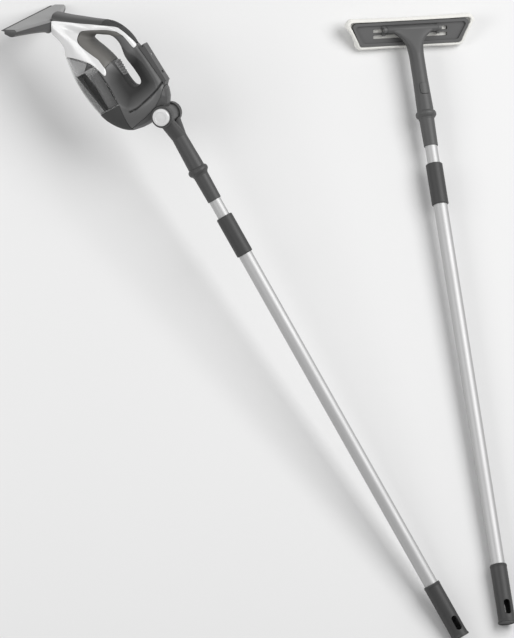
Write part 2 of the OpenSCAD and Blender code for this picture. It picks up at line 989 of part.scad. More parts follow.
module circuit_board() {
    color([0.15, 0.35, 0.22])
        translate([cell_at[0], 0, board_z])
            cube(board_size, center = true);
}

// Squeegee head, as a loft along y

function head_point(u, y, w) = let (p = head_at + u * head_out + w * head_up) [p[0], y, p[1]];

// How far along the taper from the neck to the end a point across the head lies
function head_share(y) = max(0, min(1, (abs(y) - neck_half_w) / (head_w / 2 - neck_half_w)));

function head_ring(y, inset) = let (
        t = head_share(y),
        back = head_root + (head_tip - head_end_l - head_root) * t,
        low = head_top - head_neck_t + (head_neck_t - head_end_t) * sqrt(t),
        front = head_tip - blade_out,
        under = max(back + 12, front - 18))
    [for (p = [
            [front + inset, head_top - inset], [back + 3 + inset, head_top - inset],
            [back + inset, head_top - 3 - inset], [back + inset, low + 4 + inset],
            [back + 5 + inset, low + inset],
            [back + 9, low + inset], [under, head_top - head_bend_t + inset],
            [front + inset, head_top - head_lip_t + inset]])
        head_point(p[0], y, p[1])];

module head_solid(inset) {
    reach = head_w / 2 - head_cap_t * (inset > 0 ? 0.5 : 0);
    count = 20;
    loft([for (i = [0:count]) head_ring(-reach + 2 * reach * i / count, inset)]);
}

module head_half(low, high) {
    start = head_at;
    intersection() {
        head_solid(0);
        across([start - 60 * head_out + low * head_up, start + 90 * head_out + low * head_up,
            start + 90 * head_out + high * head_up, start - 60 * head_out + high * head_up],
            head_w / 2 - head_cap_t);
    }
}

module nozzle_upper() {
    color([0.55, 0.55, 0.56])
        moulded()
            difference() {
                head_half(head_part, 60);
                head_solid(head_wall);
                neck_hole();
            }
}

module nozzle_lower() {
    color(DARK)
        moulded()
            difference() {
                head_half(-60, head_part - 0.05);
                head_solid(head_wall);
                neck_hole();
            }
}

module neck_hole() {
    start = head_at - 12 * head_out;
    across([start + 8 * head_up, start - 8 * head_up, start - 8 * head_up + 24 * head_out,
        start + 8 * head_up + 24 * head_out], neck_half_w - 6);
}

module nozzle_end_caps() {
    color(DARK)
        moulded()
            difference() {
                head_solid(0);
                translate([-300, -head_w / 2 + head_cap_t - 0.05, 0])
                    cube([400, head_w - 2 * head_cap_t + 0.1, 400]);
            }
}

module wiper_blade() {
    start = head_at + head_top * head_up;
    root = head_tip - blade_out - 4;
    color([0.06, 0.06, 0.06])
        across([start + root * head_out - 4.4 * head_up, start + head_tip * head_out - 2.2 * head_up,
            start + head_tip * head_out - 1.4 * head_up, start + root * head_out - 2.4 * head_up],
            head_w / 2 - head_cap_t - 0.1);
}

// Cradle that carries the suction tool on the hinge barrel
module cradle() {
    color(DARK)
        difference() {
            union() {
                moulded()
                    difference() {
                        intersection() {
                            body_solid(0);
                            across(cradle_outline, grow = -skin_fit);
                        }
                        for (side = [-1, 1])
                            translate([0, side * (cheek_in - seat_gap + 30), 0])
                                rotate([90, 0, 0])
                                    cylinder(r = cheek_r + 0.8, h = 60, center = true, $fn = 48);
                    }
                pin_y(barrel_r, -barrel_w / 2, barrel_w / 2);
            }
            pin_y(pivot_d / 2 + running_gap, -40, 40);
        }
}

// Clip plate along the back of the handle

module handle_clip() {
    color(DARK)
        moulded()
            difference() {
                across(clip_outline, clip_half_w);
                body_solid(-0.9);
                across(cradle_outline);
                for (z = clip_screw_z)
                    translate([30, 0, z])
                        rotate([0, 90, 0])
                            cylinder(r = 3, h = 10, $fn = 24);
            }
}

module clip_screws() {
    color(STEEL)
        for (z = clip_screw_z)
            translate([30, 0, z])
                rotate([0, 90, 0])
                    cylinder(r = 2.6, h = 1.6);
}

// Wash tool, with the pad hinge along x at the origin

function fan_ring(z) = let (
        t = max(0, z / fan_h + 1),
        stem = neck_d / 2 - fan_step,
        half_w = stem + (fan_w / 2 - fan_step - stem) * pow(t, 3.2),
        half_d = stem + (hinge_r - 2 * fan_step - stem) * pow(t, 1.2),
        square = 2 + 2.5 * t)
    [for (j = [0:27]) let (a = 360 * j / 28)
        [half_w * bend(cos(a), square), half_d * bend(sin(a), square), z]];

module neck_yoke() {
    steps = 10;
    stem_top = -yoke_l + spigot_l + 4;
    color(MID)
        difference() {
            union() {
                neck_socket(stem_top, -yoke_l);
                translate([0, 0, stem_top])
                    cylinder(d = neck_d, h = -fan_h - stem_top);
                moulded()
                    loft([for (i = [-1:steps]) fan_ring(-fan_h + fan_h * i / steps)]);
                pin_x(hinge_r, fan_w);
            }
            pin_x(hinge_pin_d / 2 + running_gap, fan_w + 2);
        }
}

module hinge_pin() {
    color(STEEL)
        pin_x(hinge_pin_d / 2, fan_w + 2 * lug_t + 2 * seat_gap);
}

// Where a point of the pad's cross-section lies: below the hinge, and ahead of it
function pad_point(y, z) = let (a = 180 - pad_lean, v = y - hinge_ahead, w = z - hinge_lift)
    [v * cos(a) - w * sin(a), v * sin(a) + w * cos(a)];

module pad_frame() {
    rotate([180 - pad_lean, 0, 0])
        translate([0, -hinge_ahead, -hinge_lift])
            children();
}

// A trapezoid with round corners, wide along +y
module trapezoid(front_w, back_w, depth, r) {
    offset(r = r)
        offset(delta = -r)
            polygon([
                [-front_w / 2, depth / 2], [front_w / 2, depth / 2], [back_w / 2, -depth / 2],
                [-back_w / 2, -depth / 2]]);
}

module base_plate() {
    color([0.36, 0.36, 0.37])
        difference() {
            union() {
                pad_frame()
                    difference() {
                        translate([0, 0, -plate_t])
                            linear_extrude(plate_t)
                                trapezoid(plate_front_w, plate_back_w, plate_depth, 7, $fn = 32);
                        translate([0, 0, -recess_depth])
                            linear_extrude(plate_t)
                                trapezoid(plate_front_w - 2.3 * recess_margin, plate_back_w - 2.3 * recess_margin,
                                    plate_depth - 2 * recess_margin, 5, $fn = 32);
                        for (s = [-1, 1])
                            translate([0, s * wash_slot_pitch / 2, -plate_t - 1])
                                linear_extrude(plate_t + 2)
                                    rounded(wash_slot_l, wash_slot_w, wash_slot_r);
                    }
                for (s = [-1, 1])
                    plate_lug(s);
            }
            pin_x(hinge_pin_d / 2 + press_gap, fan_w + 4 * lug_t);
        }
}

module plate_lug(side) {
    at = side * (fan_w / 2 + seat_gap + lug_t / 2);
    lug_h = hinge_lift + recess_depth + 0.5;
    lug_half_w = hinge_r - 2.4;
    translate([at, 0, 0]) {
        pin_x(hinge_r - 1, lug_t);
        rotate([180 - pad_lean, 0, 0]) {
            translate([-lug_t / 2, -lug_half_w, -lug_h])
                cube([lug_t, 2 * lug_half_w, lug_h + hinge_pin_d / 2 + 0.7]);
            translate([-lug_t / 2, -lug_foot, -lug_h])
                cube([lug_t, lug_foot + hinge_r, recess_depth]);
        }
    }
}

module hook_strips() {
    color([0.30, 0.30, 0.31])
        pad_frame()
            for (s = [-1, 1])
                translate([0, s * (plate_depth / 2 - 6.5), -plate_t - hook_t])
                    linear_extrude(hook_t)
                        square([hook_l, hook_w], center = true);
}

// Cloth pad with a crowned face and drawn-in sides, wrapped round the plate's edge
function pad_ring(inset, z) = let (
        f = pad_front_w / 2 - inset, b = pad_back_w / 2 - inset, d = pad_depth / 2 - inset,
        r = max(3, 14 - inset),
        centres = [[f - r, d - r], [r - f, d - r], [r - b, r - d], [b - r, r - d]])
    [for (c = [0:3]) let (side = [cos(90 * c + 90), sin(90 * c + 90)])
        each concat(
            [for (a = [0:22.5:90]) concat(centres[c] + r * [cos(90 * c + a), sin(90 * c + a)], z)],
            [for (t = [0.2:0.2:0.8]) concat(
                centres[c] * (1 - t) + centres[(c + 1) % 4] * t + (r - pad_waist * sin(180 * t)) * side, z)])];

module cloth_pad() {
    color(CLOTH)
        moulded()
            pad_frame()
                difference() {
                    loft([
                        for (e = pad_profile) pad_ring(e[0], pad_low + e[1]),
                        pad_ring(0.6, -4), pad_ring(3, -1.6), pad_ring(6, -0.8)]);
                    translate([0, 0, -plate_t - hook_t - seat_gap])
                        linear_extrude(plate_t + 10)
                            trapezoid(plate_front_w + 0.8, plate_back_w + 0.8, plate_depth + 0.8, 7, $fn = 32);
                }
}

suction_pole() outer_tube();  // outer_tube_suction
suction_pole() lock_sleeve();  // lock_sleeve_suction
suction_pole() collet();  // collet_suction
suction_pole() inner_tube();  // inner_tube_suction
suction_pole() guide_bush();  // guide_bush_suction
suction_pole() button_side(1) ferrule();  // ferrule_suction
suction_pole() button_side(1) coupling_button();  // coupling_button_suction
suction_pole() button_side(1) button_spring();  // button_spring_suction
suction_pole() hand_grip(suction_roll);  // hand_grip_suction
suction_pole() end_cap();  // end_cap_suction
place_suction() fork_neck();
place_suction() pivot_pin();
place_suction() lock_knob();
place_suction() knob_spring();
place_suction() pin_cap();
place_suction() cradle();
place_suction() handle_clip();
place_suction() clip_screws();
place_suction() housing_near();
place_suction() housing_far();
place_suction() panel_near();
place_suction() panel_far();
place_suction() grip_insert();
place_suction() spine_cover();
place_suction() power_button();
place_suction() grip_rubber();
place_suction() trigger_switch();
place_suction() tank();
place_suction() tank_foot();
place_suction() tank_baffle();
place_suction() separator_tube();
place_suction() motor();
place_suction() fan();
place_suction() fan_housing();
place_suction() suction_duct();
place_suction() battery_pack();
place_suction() circuit_board();
place_suction() nozzle_upper();
place_suction() nozzle_lower();
place_suction() wiper_blade();
place_suction() nozzle_end_caps();
wash_pole() outer_tube();  // outer_tube_wash
wash_pole() lock_sleeve();  // lock_sleeve_wash
wash_pole() collet();  // collet_wash
wash_pole() inner_tube();  // inner_tube_wash
wash_pole() guide_bush();  // guide_bush_wash
wash_pole() ferrule();  // ferrule_wash
wash_pole() coupling_button();  // coupling_button_wash
wash_pole() button_spring();  // button_spring_wash
wash_pole() hand_grip(0);  // hand_grip_wash
wash_pole() end_cap();  // end_cap_wash
place_wash() neck_yoke();
place_wash() hinge_pin();
place_wash() base_plate();
place_wash() hook_strips();
place_wash() cloth_pad();
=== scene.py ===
# %% [markdown]
# # Window cleaning pole system
# Two tools lie side by side on the floor: a cordless suction tool on a tilting adapter, and a flat wash
# pad. Each sits on its own telescopic pole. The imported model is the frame: it already holds every piece in
# place. Here the moulded pieces are drawn again as smooth surfaces, the cloth gets its pile, and each piece
# gets a finish.

# %% Load the frame
import json

import bpy
import numpy as np
from mathutils import Matrix, Vector


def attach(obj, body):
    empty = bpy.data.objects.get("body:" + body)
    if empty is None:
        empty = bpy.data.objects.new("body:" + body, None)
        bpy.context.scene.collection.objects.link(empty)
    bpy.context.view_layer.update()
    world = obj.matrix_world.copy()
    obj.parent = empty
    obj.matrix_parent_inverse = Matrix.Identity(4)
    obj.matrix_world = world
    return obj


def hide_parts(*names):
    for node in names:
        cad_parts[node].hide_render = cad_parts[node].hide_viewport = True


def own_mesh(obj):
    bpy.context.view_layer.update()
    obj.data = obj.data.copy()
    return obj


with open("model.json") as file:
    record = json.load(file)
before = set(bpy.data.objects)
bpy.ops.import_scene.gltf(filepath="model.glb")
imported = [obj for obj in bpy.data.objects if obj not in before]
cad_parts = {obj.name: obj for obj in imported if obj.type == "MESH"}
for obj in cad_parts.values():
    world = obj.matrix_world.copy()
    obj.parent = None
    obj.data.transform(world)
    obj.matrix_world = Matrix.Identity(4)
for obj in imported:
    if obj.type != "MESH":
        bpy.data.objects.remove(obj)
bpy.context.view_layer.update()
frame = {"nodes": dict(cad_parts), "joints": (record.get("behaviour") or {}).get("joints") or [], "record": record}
scene = bpy.context.scene
scene.view_settings.view_transform = "Standard"

# %% [markdown]
# ## Where each tool lies
# The record names every joint with its place and its axis, and that is enough to find each tool's own
# directions. The suction tool tilts about its cross pin, and its pole slides along the pole. The third
# direction is their cross product. Reading them here means that a new pack moves the looks with it.

# %% Directions of both tools
joints = {joint["name"]: joint for joint in frame["joints"]}


def unit(v):
    """A vector of the same direction and of length one."""
    v = np.asarray(v, float)
    return v / np.linalg.norm(v, axis=-1, keepdims=True)


def tool_directions(first, second, third):
    """Columns are a tool's x, y and z; the direction given as None is the cross product of the others."""
    if first is None:
        first = np.cross(second, third)
    if second is None:
        second = np.cross(third, first)
    return np.stack([unit(first), unit(second), unit(third)], axis=1)


suction_turn = tool_directions(None, joints["tool_tilt"]["axis"], joints["pole_slide_suction"]["axis"])
suction_place = np.array(joints["tool_tilt"]["pos_m"])
wash_turn = tool_directions(joints["pad_tilt"]["axis"], None, joints["pole_slide_wash"]["axis"])
wash_place = np.array(joints["pad_tilt"]["pos_m"])


def lay_suction(points):
    """Points of the suction tool in millimetres, laid in the frame in metres."""
    return points @ suction_turn.T * 0.001 + suction_place


def lay_wash(points):
    """Points of the wash tool in millimetres, laid in the frame in metres."""
    return points @ wash_turn.T * 0.001 + wash_place


print("suction pivot", suction_place.round(4), "pad hinge", wash_place.round(4))

# %% [markdown]
# ## Camera
# The poles in the picture stay equally thick from end to end, so the camera stood far off with a long lens.
# A camera thirty metres away does the same. Its three directions come from how the poles lean in the
# picture.

# %% Camera
camera_right = unit((0.9423, -0.1552, 0.2954))
camera_back = unit((-0.3284, -0.2801, 0.9020))
camera_up = np.cross(camera_back, camera_right)
camera_far = 30.0
pixels_per_metre = 566.0
camera = bpy.data.objects.new("camera", bpy.data.cameras.new("camera"))
scene.collection.objects.link(camera)
camera.data.sensor_width = 36
camera.data.lens = 36 * pixels_per_metre * camera_far / 638
camera.data.clip_end = 200
turn = np.eye(4)
turn[:3, :3] = np.stack([camera_right, camera_up, camera_back], axis=1)
turn[:3, 3] = np.array([-0.0257, 0.0086, -0.001]) + camera_back * camera_far
camera.matrix_world = Matrix(turn.tolist())
scene.camera = camera
print("lens", round(camera.data.lens), "mm")

# %% [markdown]
# ## Numbers that turn into nodes
# A finish is a small sum: some grain, some wear, a tint. Blender writes sums as Math nodes, one node for
# each sign. The class below wraps a socket, so that ordinary Python arithmetic adds those nodes. Every
# other node comes from its one method, which sets the node's own settings first and then fills or links its
# sockets.

# %% Sockets as numbers
class Signal:
    """A socket of a finish: arithmetic adds Math nodes, and make() adds any other node."""

    def __init__(self, tree, socket=None):
        self.tree = tree
        self.socket = socket

    def make(self, kind, settings=None, inputs=None, out=0):
        node = self.tree.nodes.new("ShaderNode" + kind)
        for key, value in (settings or {}).items():
            if key == "stops":
                for place, tone in value[1:-1]:
                    node.color_ramp.elements.new(place)
                for element, (place, tone) in zip(node.color_ramp.elements, value):
                    element.position, element.color = place, (*tone, 1)
            else:
                setattr(node, key, value)
        for key, value in (inputs or {}).items():
            if isinstance(value, Signal):
                self.tree.links.new(value.socket, node.inputs[key])
            else:
                node.inputs[key].default_value = value
        return Signal(self.tree, node.outputs[out])

    def sum(self, operation, first, second):
        return self.make("Math", {"operation": operation}, {0: first, 1: second})

    def __add__(self, other):
        return self.sum("ADD", self, other)

    __radd__ = __add__

    def __sub__(self, other):
        return self.sum("SUBTRACT", self, other)

    def __rsub__(self, other):
        return self.sum("SUBTRACT", other, self)

    def __mul__(self, other):
        return self.sum("MULTIPLY", self, other)

    __rmul__ = __mul__


print("signals ready")

# %% [markdown]
# ## Moulded plastic
# Most of the tool is injection-moulded plastic. Up close it has a fine spark-eroded grain, a slightly
# uneven gloss, and pale scuffs where hands and walls have rubbed it. Noise of three sizes gives those three
# things. The grain is a bump, because it is far too small to model.

# %% Finish helpers
def new_finish(name, **constants):
    """A material whose shader sockets hold constants; returns it, its shader and its Object coordinates."""
    material = bpy.data.materials.new(name)
    material.use_nodes = True
    shader = material.node_tree.nodes["Principled BSDF"]
    for key, value in constants.items():
        shader.inputs[key.replace("_", " ")].default_value = value
    return material, shader, Signal(material.node_tree).make("TexCoord", out=3)


def feed(shader, **signals):
    """Links signals to the shader's sockets."""
    for key, value in signals.items():
        value.tree.links.new(value.socket, shader.inputs[key.replace("_", " ")])


def speckle(place, scale, detail=3.0, rough=0.55):
    """Noise around 0.5 with that many grains a metre."""
    inputs = {"Vector": place, "Scale": scale, "Detail": detail, "Roughness": rough}
    return place.make("TexNoise", None, inputs)


def tone(place, colour, darker, lighter, amount):
    """The colour mixed from darker to lighter as amount goes from 0 to 1."""
    low = (*[c * darker for c in colour], 1)
    high = (*[min(1, c * lighter) for c in colour], 1)
    settings = {"data_type": "RGBA", "clamp_factor": False}
    return place.make("Mix", settings, {0: amount, 6: low, 7: high}, out=2)


def bump(place, height, strength, distance):
    """A normal that rises and falls with height."""
    return place.make("Bump", None, {"Height": height, "Strength": strength, "Distance": distance})


def plastic(name, colour, rough, grain=1500, depth=0.25, scuffs=0.25, coat=0.0, hollow=0.0):
    """Moulded plastic: grain as bump, uneven gloss, scuffs from stretched noise, and painted shade, darker where
    the point's mask is high.
    """
    material, shader, place = new_finish(name, Coat_Weight=coat, Coat_Roughness=0.08)
    cloud = speckle(place, 14, 4)
    scratch = speckle(place.make("Mapping", None, {"Vector": place, "Scale": (40, 260, 70)}), 1.0, 6, 0.7)
    worn = place.make("MapRange", None, {0: scratch, 1: 0.62, 2: 0.78, 3: 0.0, 4: scuffs})
    amount = 0.25 + 0.5 * (cloud - 0.5) + worn
    gloss = rough + 0.18 * (cloud - 0.5) + 0.3 * worn
    # Painted shade: where the point's mask rises, down the slope into the loop and along the groove, the colour
    # darkens and the gloss dulls.
    if hollow:
        shade_and_veil_share = place.make("Attribute", {"attribute_name": "hollow"}, out=2)
        amount, gloss = amount - 5 * hollow * shade_and_veil_share, gloss + 0.15 * shade_and_veil_share
    feed(shader, Base_Color=tone(place, colour, 0.9, 1.12 + 0.5 * scuffs, amount))
    feed(shader, Roughness=gloss)
    feed(shader, Normal=bump(place, speckle(place, grain, 2), depth, 0.0002))
    return material


def grey(level, tint=(1, 1, 1)):
    """A linear colour from a screen grey of 0 to 255."""
    screen = np.array(tint) * level / 255
    return tuple(np.where(screen > 0.04045, ((screen + 0.055) / 1.055) ** 2.4, screen / 12.92))


casing_finish = plastic("casing_plastic", grey(74), 0.42)
# Painted light: the casing sides are a lighter copy of the casing grey, and they carry painted shade down into the
# loop.
lit_and_shaded_side_finish = plastic("lit_and_shaded_side_plastic", grey(90), 0.42, hollow=0.5)
neck_finish = plastic("neck_plastic", grey(66), 0.5)
sleeve_finish = plastic("sleeve_plastic", grey(58), 0.52, grain=1100, depth=0.3)
yoke_finish = plastic("yoke_plastic", grey(80), 0.5)
plate_finish = plastic("plate_plastic", grey(92), 0.5, grain=1200)
head_finish = plastic("head_plastic", grey(140), 0.38, scuffs=0.15)
white_finish = plastic("white_plastic", grey(226), 0.24, grain=700, depth=0.04, scuffs=0.06, coat=0.4)
taupe_finish = plastic("taupe_plastic", grey(104, (1, 0.985, 0.955)), 0.55, grain=1300)
rubber_finish = plastic("soft_rubber", grey(58), 0.72, grain=1800, depth=0.4, scuffs=0.12)
switch_finish = plastic("switch_plastic", grey(118), 0.4, grain=1300)
blade_finish = plastic("blade_rubber", grey(22), 0.5, grain=900, depth=0.1, scuffs=0.1)
print(len(bpy.data.materials), "materials")

# %% [markdown]
# ## Drawn aluminium
# The tubes are drawn through a die and anodised, which leaves faint lines along their length. A Mapping
# node in Texture mode turns and stretches the noise to follow each pole: it is tight round the tube and
# long along it.

# %% Aluminium, steel and small finishes
def metal(name, colour, rough, place_of, turn_of, stretch=(1 / 1400, 1 / 1400, 1 / 9)):
    """Metal with fine lines along a tool's own z: noise squeezed across the pole and stretched along it."""
    material, shader, place = new_finish(name, Metallic=1.0)
    lines = {"Vector": place, "Location": tuple(place_of), "Scale": stretch,
             "Rotation": tuple(Matrix(turn_of.tolist()).to_euler())}
    drawn = speckle(place.make("Mapping", {"vector_type": "TEXTURE"}, lines), 1.0, 4, 0.6)
    cloud = speckle(place, 11, 3)
    feed(shader, Base_Color=tone(place, colour, 0.9, 1.06, drawn))
    feed(shader, Roughness=rough + 0.12 * (drawn - 0.5) + 0.1 * (cloud - 0.5))
    feed(shader, Normal=bump(place, drawn, 0.12, 0.0001))
    return material


tube_suction_finish = metal("drawn_aluminium_suction", grey(198), 0.6, suction_place, suction_turn)
tube_wash_finish = metal("drawn_aluminium_wash", grey(198), 0.6, wash_place, wash_turn)
steel_finish = metal("turned_steel", grey(176), 0.3, suction_place, suction_turn, (1 / 300, 1 / 300, 1 / 300))
cell_finish = plastic("cell_wrap", grey(120, (0.85, 1.0, 1.25)), 0.3, grain=300, depth=0.05)
board_finish = plastic("solder_mask", grey(86, (0.6, 1.1, 0.7)), 0.35, grain=500, depth=0.1)


def smoked_clear(name, colour, veil, denser):
    """Tinted clear plastic: see-through, denser where the point's mask is high, with faint dried drops that dull
    it.
    """
    material, shader, place = new_finish(name, IOR=1.46, Coat_Weight=0.6, Coat_Roughness=0.05)
    shader.inputs["Base Color"].default_value = (*colour, 1)
    drops = place.make("MapRange", None, {0: speckle(place, 90, 2), 1: 0.6, 2: 0.75})
    feed(shader, Roughness=0.1 + 0.2 * drops)
    shade_and_veil_share = place.make("Attribute", {"attribute_name": "hollow"}, out=2)
    feed(shader, Alpha=veil + denser * shade_and_veil_share + 0.04 * drops)
    return material


tank_finish = smoked_clear("smoked_clear", grey(56), 0.18, 0.18)
baffle_finish = plastic("baffle_plastic", grey(240), 0.4, scuffs=0.05)
print("metals ready")

# %% [markdown]
# ## The suction tool's body as one surface
# The body is a ring round the finger loop. Its sections are superellipses, each between an outer and an
# inner point in the side view, and a smooth closed curve through sixteen of them makes the ring. Below a
# soft ridge the side slopes in to the loop, so that fingers find it. Every skin piece is cut from this one
# surface, so seams match.

# %% Body surface
body_keys = np.array([
    [20, 132, -12.5, 124, 16, 14], [13, 164, -9, 149, 16, 4], [-3, 190, -14, 167, 17, 0],
    [-34, 213, -27, 177, 20, 0], [-66, 236, -39, 184, 24, 0], [-126, 279, -48, 181, 26, 0],
    [-103, 203, -48, 172, 32, 0], [-109, 172, -42, 158, 36, 0], [-114, 130, -34, 135, 38, 14],
    [-111, 86, -30, 107, 38, 30], [-99, 40, -28, 86, 37, 36], [-72, 8, -25, 75, 36, 37],
    [-35, 0, -18, 70, 32, 36], [6, 8, -11, 71, 25, 36], [27, 38, -7, 79, 21, 38], [25, 90, -9, 100, 17, 28]], float)
body_square = 2.7
loop_slope = 0.55


def closed_curve(keys, steps):
    """Catmull-Rom curve: a cubic in t between keys b and c, bent by their neighbours a and d."""
    t = (np.arange(steps) / steps)[None, :, None]
    a, b, c, d = [np.roll(keys, shift, axis=0)[:, None] for shift in (1, 0, -1, -2)]
    curve = 0.5 * (2 * b + (c - a) * t + (2 * a - 5 * b + 4 * c - d) * t**2 + (3 * b - a - 3 * c + d) * t**3)
    return curve.reshape(-1, keys.shape[1])


def bend(v, square):
    """Signed power that squares off a circle: sign(v) times |v| to the power 2 / square."""
    return np.sign(v) * np.abs(v) ** (2 / square)


def body_grid(steps, sides):
    """Grid of points: mid + reach * bend(cos), and across by half width * bend(sin), under the slope."""
    keys = closed_curve(body_keys, steps)
    angle = 2 * np.pi * np.arange(sides) / sides
    out, inner = keys[:, None, :2], keys[:, None, 2:4]
    reach = np.linalg.norm(out - inner, axis=2, keepdims=True) / 2
    q = bend(np.cos(angle), body_square)[None, :, None]
    side = (out + inner) / 2 + (out - inner) / 2 * q
    ridge = np.maximum(keys[:, None, 5:], 0.01)
    limit = 1 - loop_slope * np.clip(1 - reach * (1 + q) / ridge, 0, 1)
    w = bend(np.sin(angle), body_square)[None, :, None]
    y = keys[:, None, 4:5] * np.sign(w) * np.minimum(np.abs(w), limit)
    return np.concatenate([side[..., :1], y, side[..., 1:]], axis=2)


def grid_normals(grid):
    """Outward directions of a grid that closes both ways: the cross product of its two differences."""
    along = np.roll(grid, -1, 0) - np.roll(grid, 1, 0)
    around = np.roll(grid, -1, 1) - np.roll(grid, 1, 1)
    return unit(np.cross(around, along) + 1e-12)


def closed_triangles(rows, columns):
    """Two triangles for each cell of a grid that closes both ways."""
    i, j = np.meshgrid(np.arange(rows), np.arange(columns), indexing="ij")
    k, m = (i + 1) % rows, (j + 1) % columns
    a, b, c, d = [(r * columns + s).ravel() for r, s in ((i, j), (k, j), (k, m), (i, m))]
    return np.concatenate([np.stack([a, c, b], 1), np.stack([a, d, c], 1)])


body_points = body_grid(20, 144)
body_normals = grid_normals(body_points)
if (body_normals[:, 0, 0] * (body_points[:, 0, 0] - body_points[:, 72, 0])).sum() < 0:
    body_normals = -body_normals
body_faces = closed_triangles(*body_points.shape[:2])
body_points, body_normals = body_points.reshape(-1, 3), body_normals.reshape(-1, 3)
print(len(body_points), "points on the body")

# %% [markdown]
# ## Cutting the skin along a line
# Each skin piece is the part of the body inside an outline seen from the side. The distance to the outline
# is worked out at every point, below zero inside. Triangles that the line crosses are split on it, so an
# edge is as smooth as the outline. Close to the edge the skin rolls over by a quarter circle, which leaves
# the fine groove that two moulded pieces always have between them.

# %% Skin cutting
def outline_distance(outline, at):
    """Distance in the side view from each point to a closed outline, below zero inside it."""
    start, end = outline, np.roll(outline, -1, axis=0)
    edge = end - start
    apart = at[:, None] - start[None]
    share = np.clip((apart * edge).sum(2) / (edge**2).sum(1), 0, 1)
    near = np.linalg.norm(apart - share[..., None] * edge, axis=2).min(1)
    over = (start[:, 1] > at[:, 1:]) != (end[:, 1] > at[:, 1:])
    slope = edge[:, 0] / np.where(edge[:, 1] == 0, 1e-9, edge[:, 1])
    left = at[:, :1] < start[:, 0] + (at[:, 1:] - start[:, 1]) * slope
    return np.where((over & left).sum(1) % 2 == 1, -near, near)


def split_at(table, triangles, level):
    """Splits triangles where the table's last column crosses a level, at a + (b - a) * fa / (fa - fb)."""
    value = table[:, -1] - level
    above = value[triangles] > 0
    count = above.sum(1)
    mixed = (count == 1) | (count == 2)
    cut, above, count = triangles[mixed], above[mixed], count[mixed]
    odd = np.where(count == 1, above.argmax(1), above.argmin(1))
    a, b, c = [cut[np.arange(len(cut)), (odd + turn) % 3] for turn in range(3)]
    pairs = np.sort(np.concatenate([np.stack([a, b], 1), np.stack([a, c], 1)]), axis=1)
    pairs, place = np.unique(pairs, axis=0, return_inverse=True)
    i, j = pairs.T
    share = value[i] / (value[i] - value[j])
    p, q = np.split(place.ravel() + len(table), 2)
    table = np.concatenate([table, table[i] + (table[j] - table[i]) * share[:, None]])
    parts = [np.stack(t, 1) for t in ((a, p, q), (p, b, c), (p, c, q))]
    return table, np.concatenate([triangles[~mixed], *parts])


def thick_skin(points, normals, triangles, field, thick, rim, proud=0.0):
    """The surface where field is below zero, with a wall, a rolled edge of radius rim and closed sides."""
    table = np.column_stack([points, normals, field])
    for level in (-rim, -0.55 * rim, -0.2 * rim, 0):
        table, triangles = split_at(table, triangles, level)
    triangles = triangles[table[triangles, -1].mean(1) < 0]
    used, triangles = np.unique(triangles, return_inverse=True)
    table, triangles = table[used], triangles.reshape(-1, 3)
    share = np.clip(table[:, -1] / rim + 1, 0, 1)
    outer = table[:, :3] + table[:, 3:6] * (proud - rim * (1 - np.sqrt(1 - share**2)))[:, None]
    inner = table[:, :3] - table[:, 3:6] * thick
    count = len(table)
    edges = np.concatenate([triangles[:, [0, 1]], triangles[:, [1, 2]], triangles[:, [2, 0]]])
    open_edge = ~np.isin(edges[:, 0] * count + edges[:, 1], edges[:, 1] * count + edges[:, 0])
    a, b = edges[open_edge].T
    walls = np.concatenate([np.stack([b, a, a + count], 1), np.stack([b, a + count, b + count], 1)])
    return np.concatenate([outer, inner]), np.concatenate([triangles, triangles[:, ::-1] + count, walls])


def new_piece(name, points, faces, finish, nodes=(), body=None, crease=40, hollow=None):
    """A mesh object at the origin, smooth except where faces meet at more than crease degrees."""
    mesh = bpy.data.meshes.new(name)
    mesh.from_pydata(np.asarray(points), [], np.asarray(faces).tolist())
    mesh.polygons.foreach_set("use_smooth", np.ones(len(mesh.polygons), bool))
    mesh.set_sharp_from_angle(angle=np.radians(crease))
    # An optional mask per point: painted shade on the casing sides, a denser veil on the tank.
    if hollow is not None:
        mesh.attributes.new("hollow", "FLOAT", "POINT").data.foreach_set("value", hollow.astype(np.float32))
    mesh.materials.append(finish)
    piece = bpy.data.objects.new(name, mesh)
    scene.collection.objects.link(piece)
    if nodes:
        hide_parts(*nodes)
    if body:
        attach(piece, body)
    print(name, len(mesh.vertices), "points", len(mesh.polygons), "faces")
    return piece


print("skin tools ready")

# %% [markdown]
# ## The groove under the loop
# A fine moulded groove runs below the loop, just outside the ridge. The surface gets extra points on lines
# at set distances from the groove's path, and then sinks by a cosine of the distance, so the groove has
# soft shoulders.

# %% Groove
def path_distance(path, at):
    """Distance in the side view from each point to an open broken line."""
    start, edge = path[:-1], np.diff(path, axis=0)
    apart = at[:, None] - start[None]
    share = np.clip((apart * edge).sum(2) / (edge**2).sum(1), 0, 1)
    return np.linalg.norm(apart - share[..., None] * edge, axis=2).min(1)


def along_path(path, count):
    """Points at equal steps along a broken line."""
    far = np.concatenate([[0], np.cumsum(np.linalg.norm(np.diff(path, axis=0), axis=1))])
    at = np.linspace(0, far[-1], count)
    return np.stack([np.interp(at, far, path[:, k]) for k in range(path.shape[1])], axis=1)


groove_path = along_path(np.array([[-45, 35], [-30, 34.5], [-15, 38.5], [16, 46.5], [29, 54]], float), 24)
groove_half, groove_deep = 2.4, 1.9
table = np.column_stack([body_points, body_normals, path_distance(groove_path, body_points[:, [0, 2]])])
for level in (groove_half, 0.7 * groove_half, 0.35 * groove_half, 0.05):
    table, body_faces = split_at(table, body_faces, level)
away = path_distance(groove_path, table[:, [0, 2]])
sink = groove_deep * 0.5 * (1 + np.cos(np.pi * np.clip(away / groove_half, 0, 1)))
body_points, body_normals = table[:, :3] - table[:, 3:6] * sink[:, None], table[:, 3:6]
print(int((sink > 0).sum()), "points in the groove")

# %% [markdown]
# ## Outlines of the skin pieces
# Seen from the side, the white panel swings from the head down the front and along the handle. A taupe
# insert lines the upper loop, soft rubber covers the back of the grip, and the clear tank fills the lower
# front.

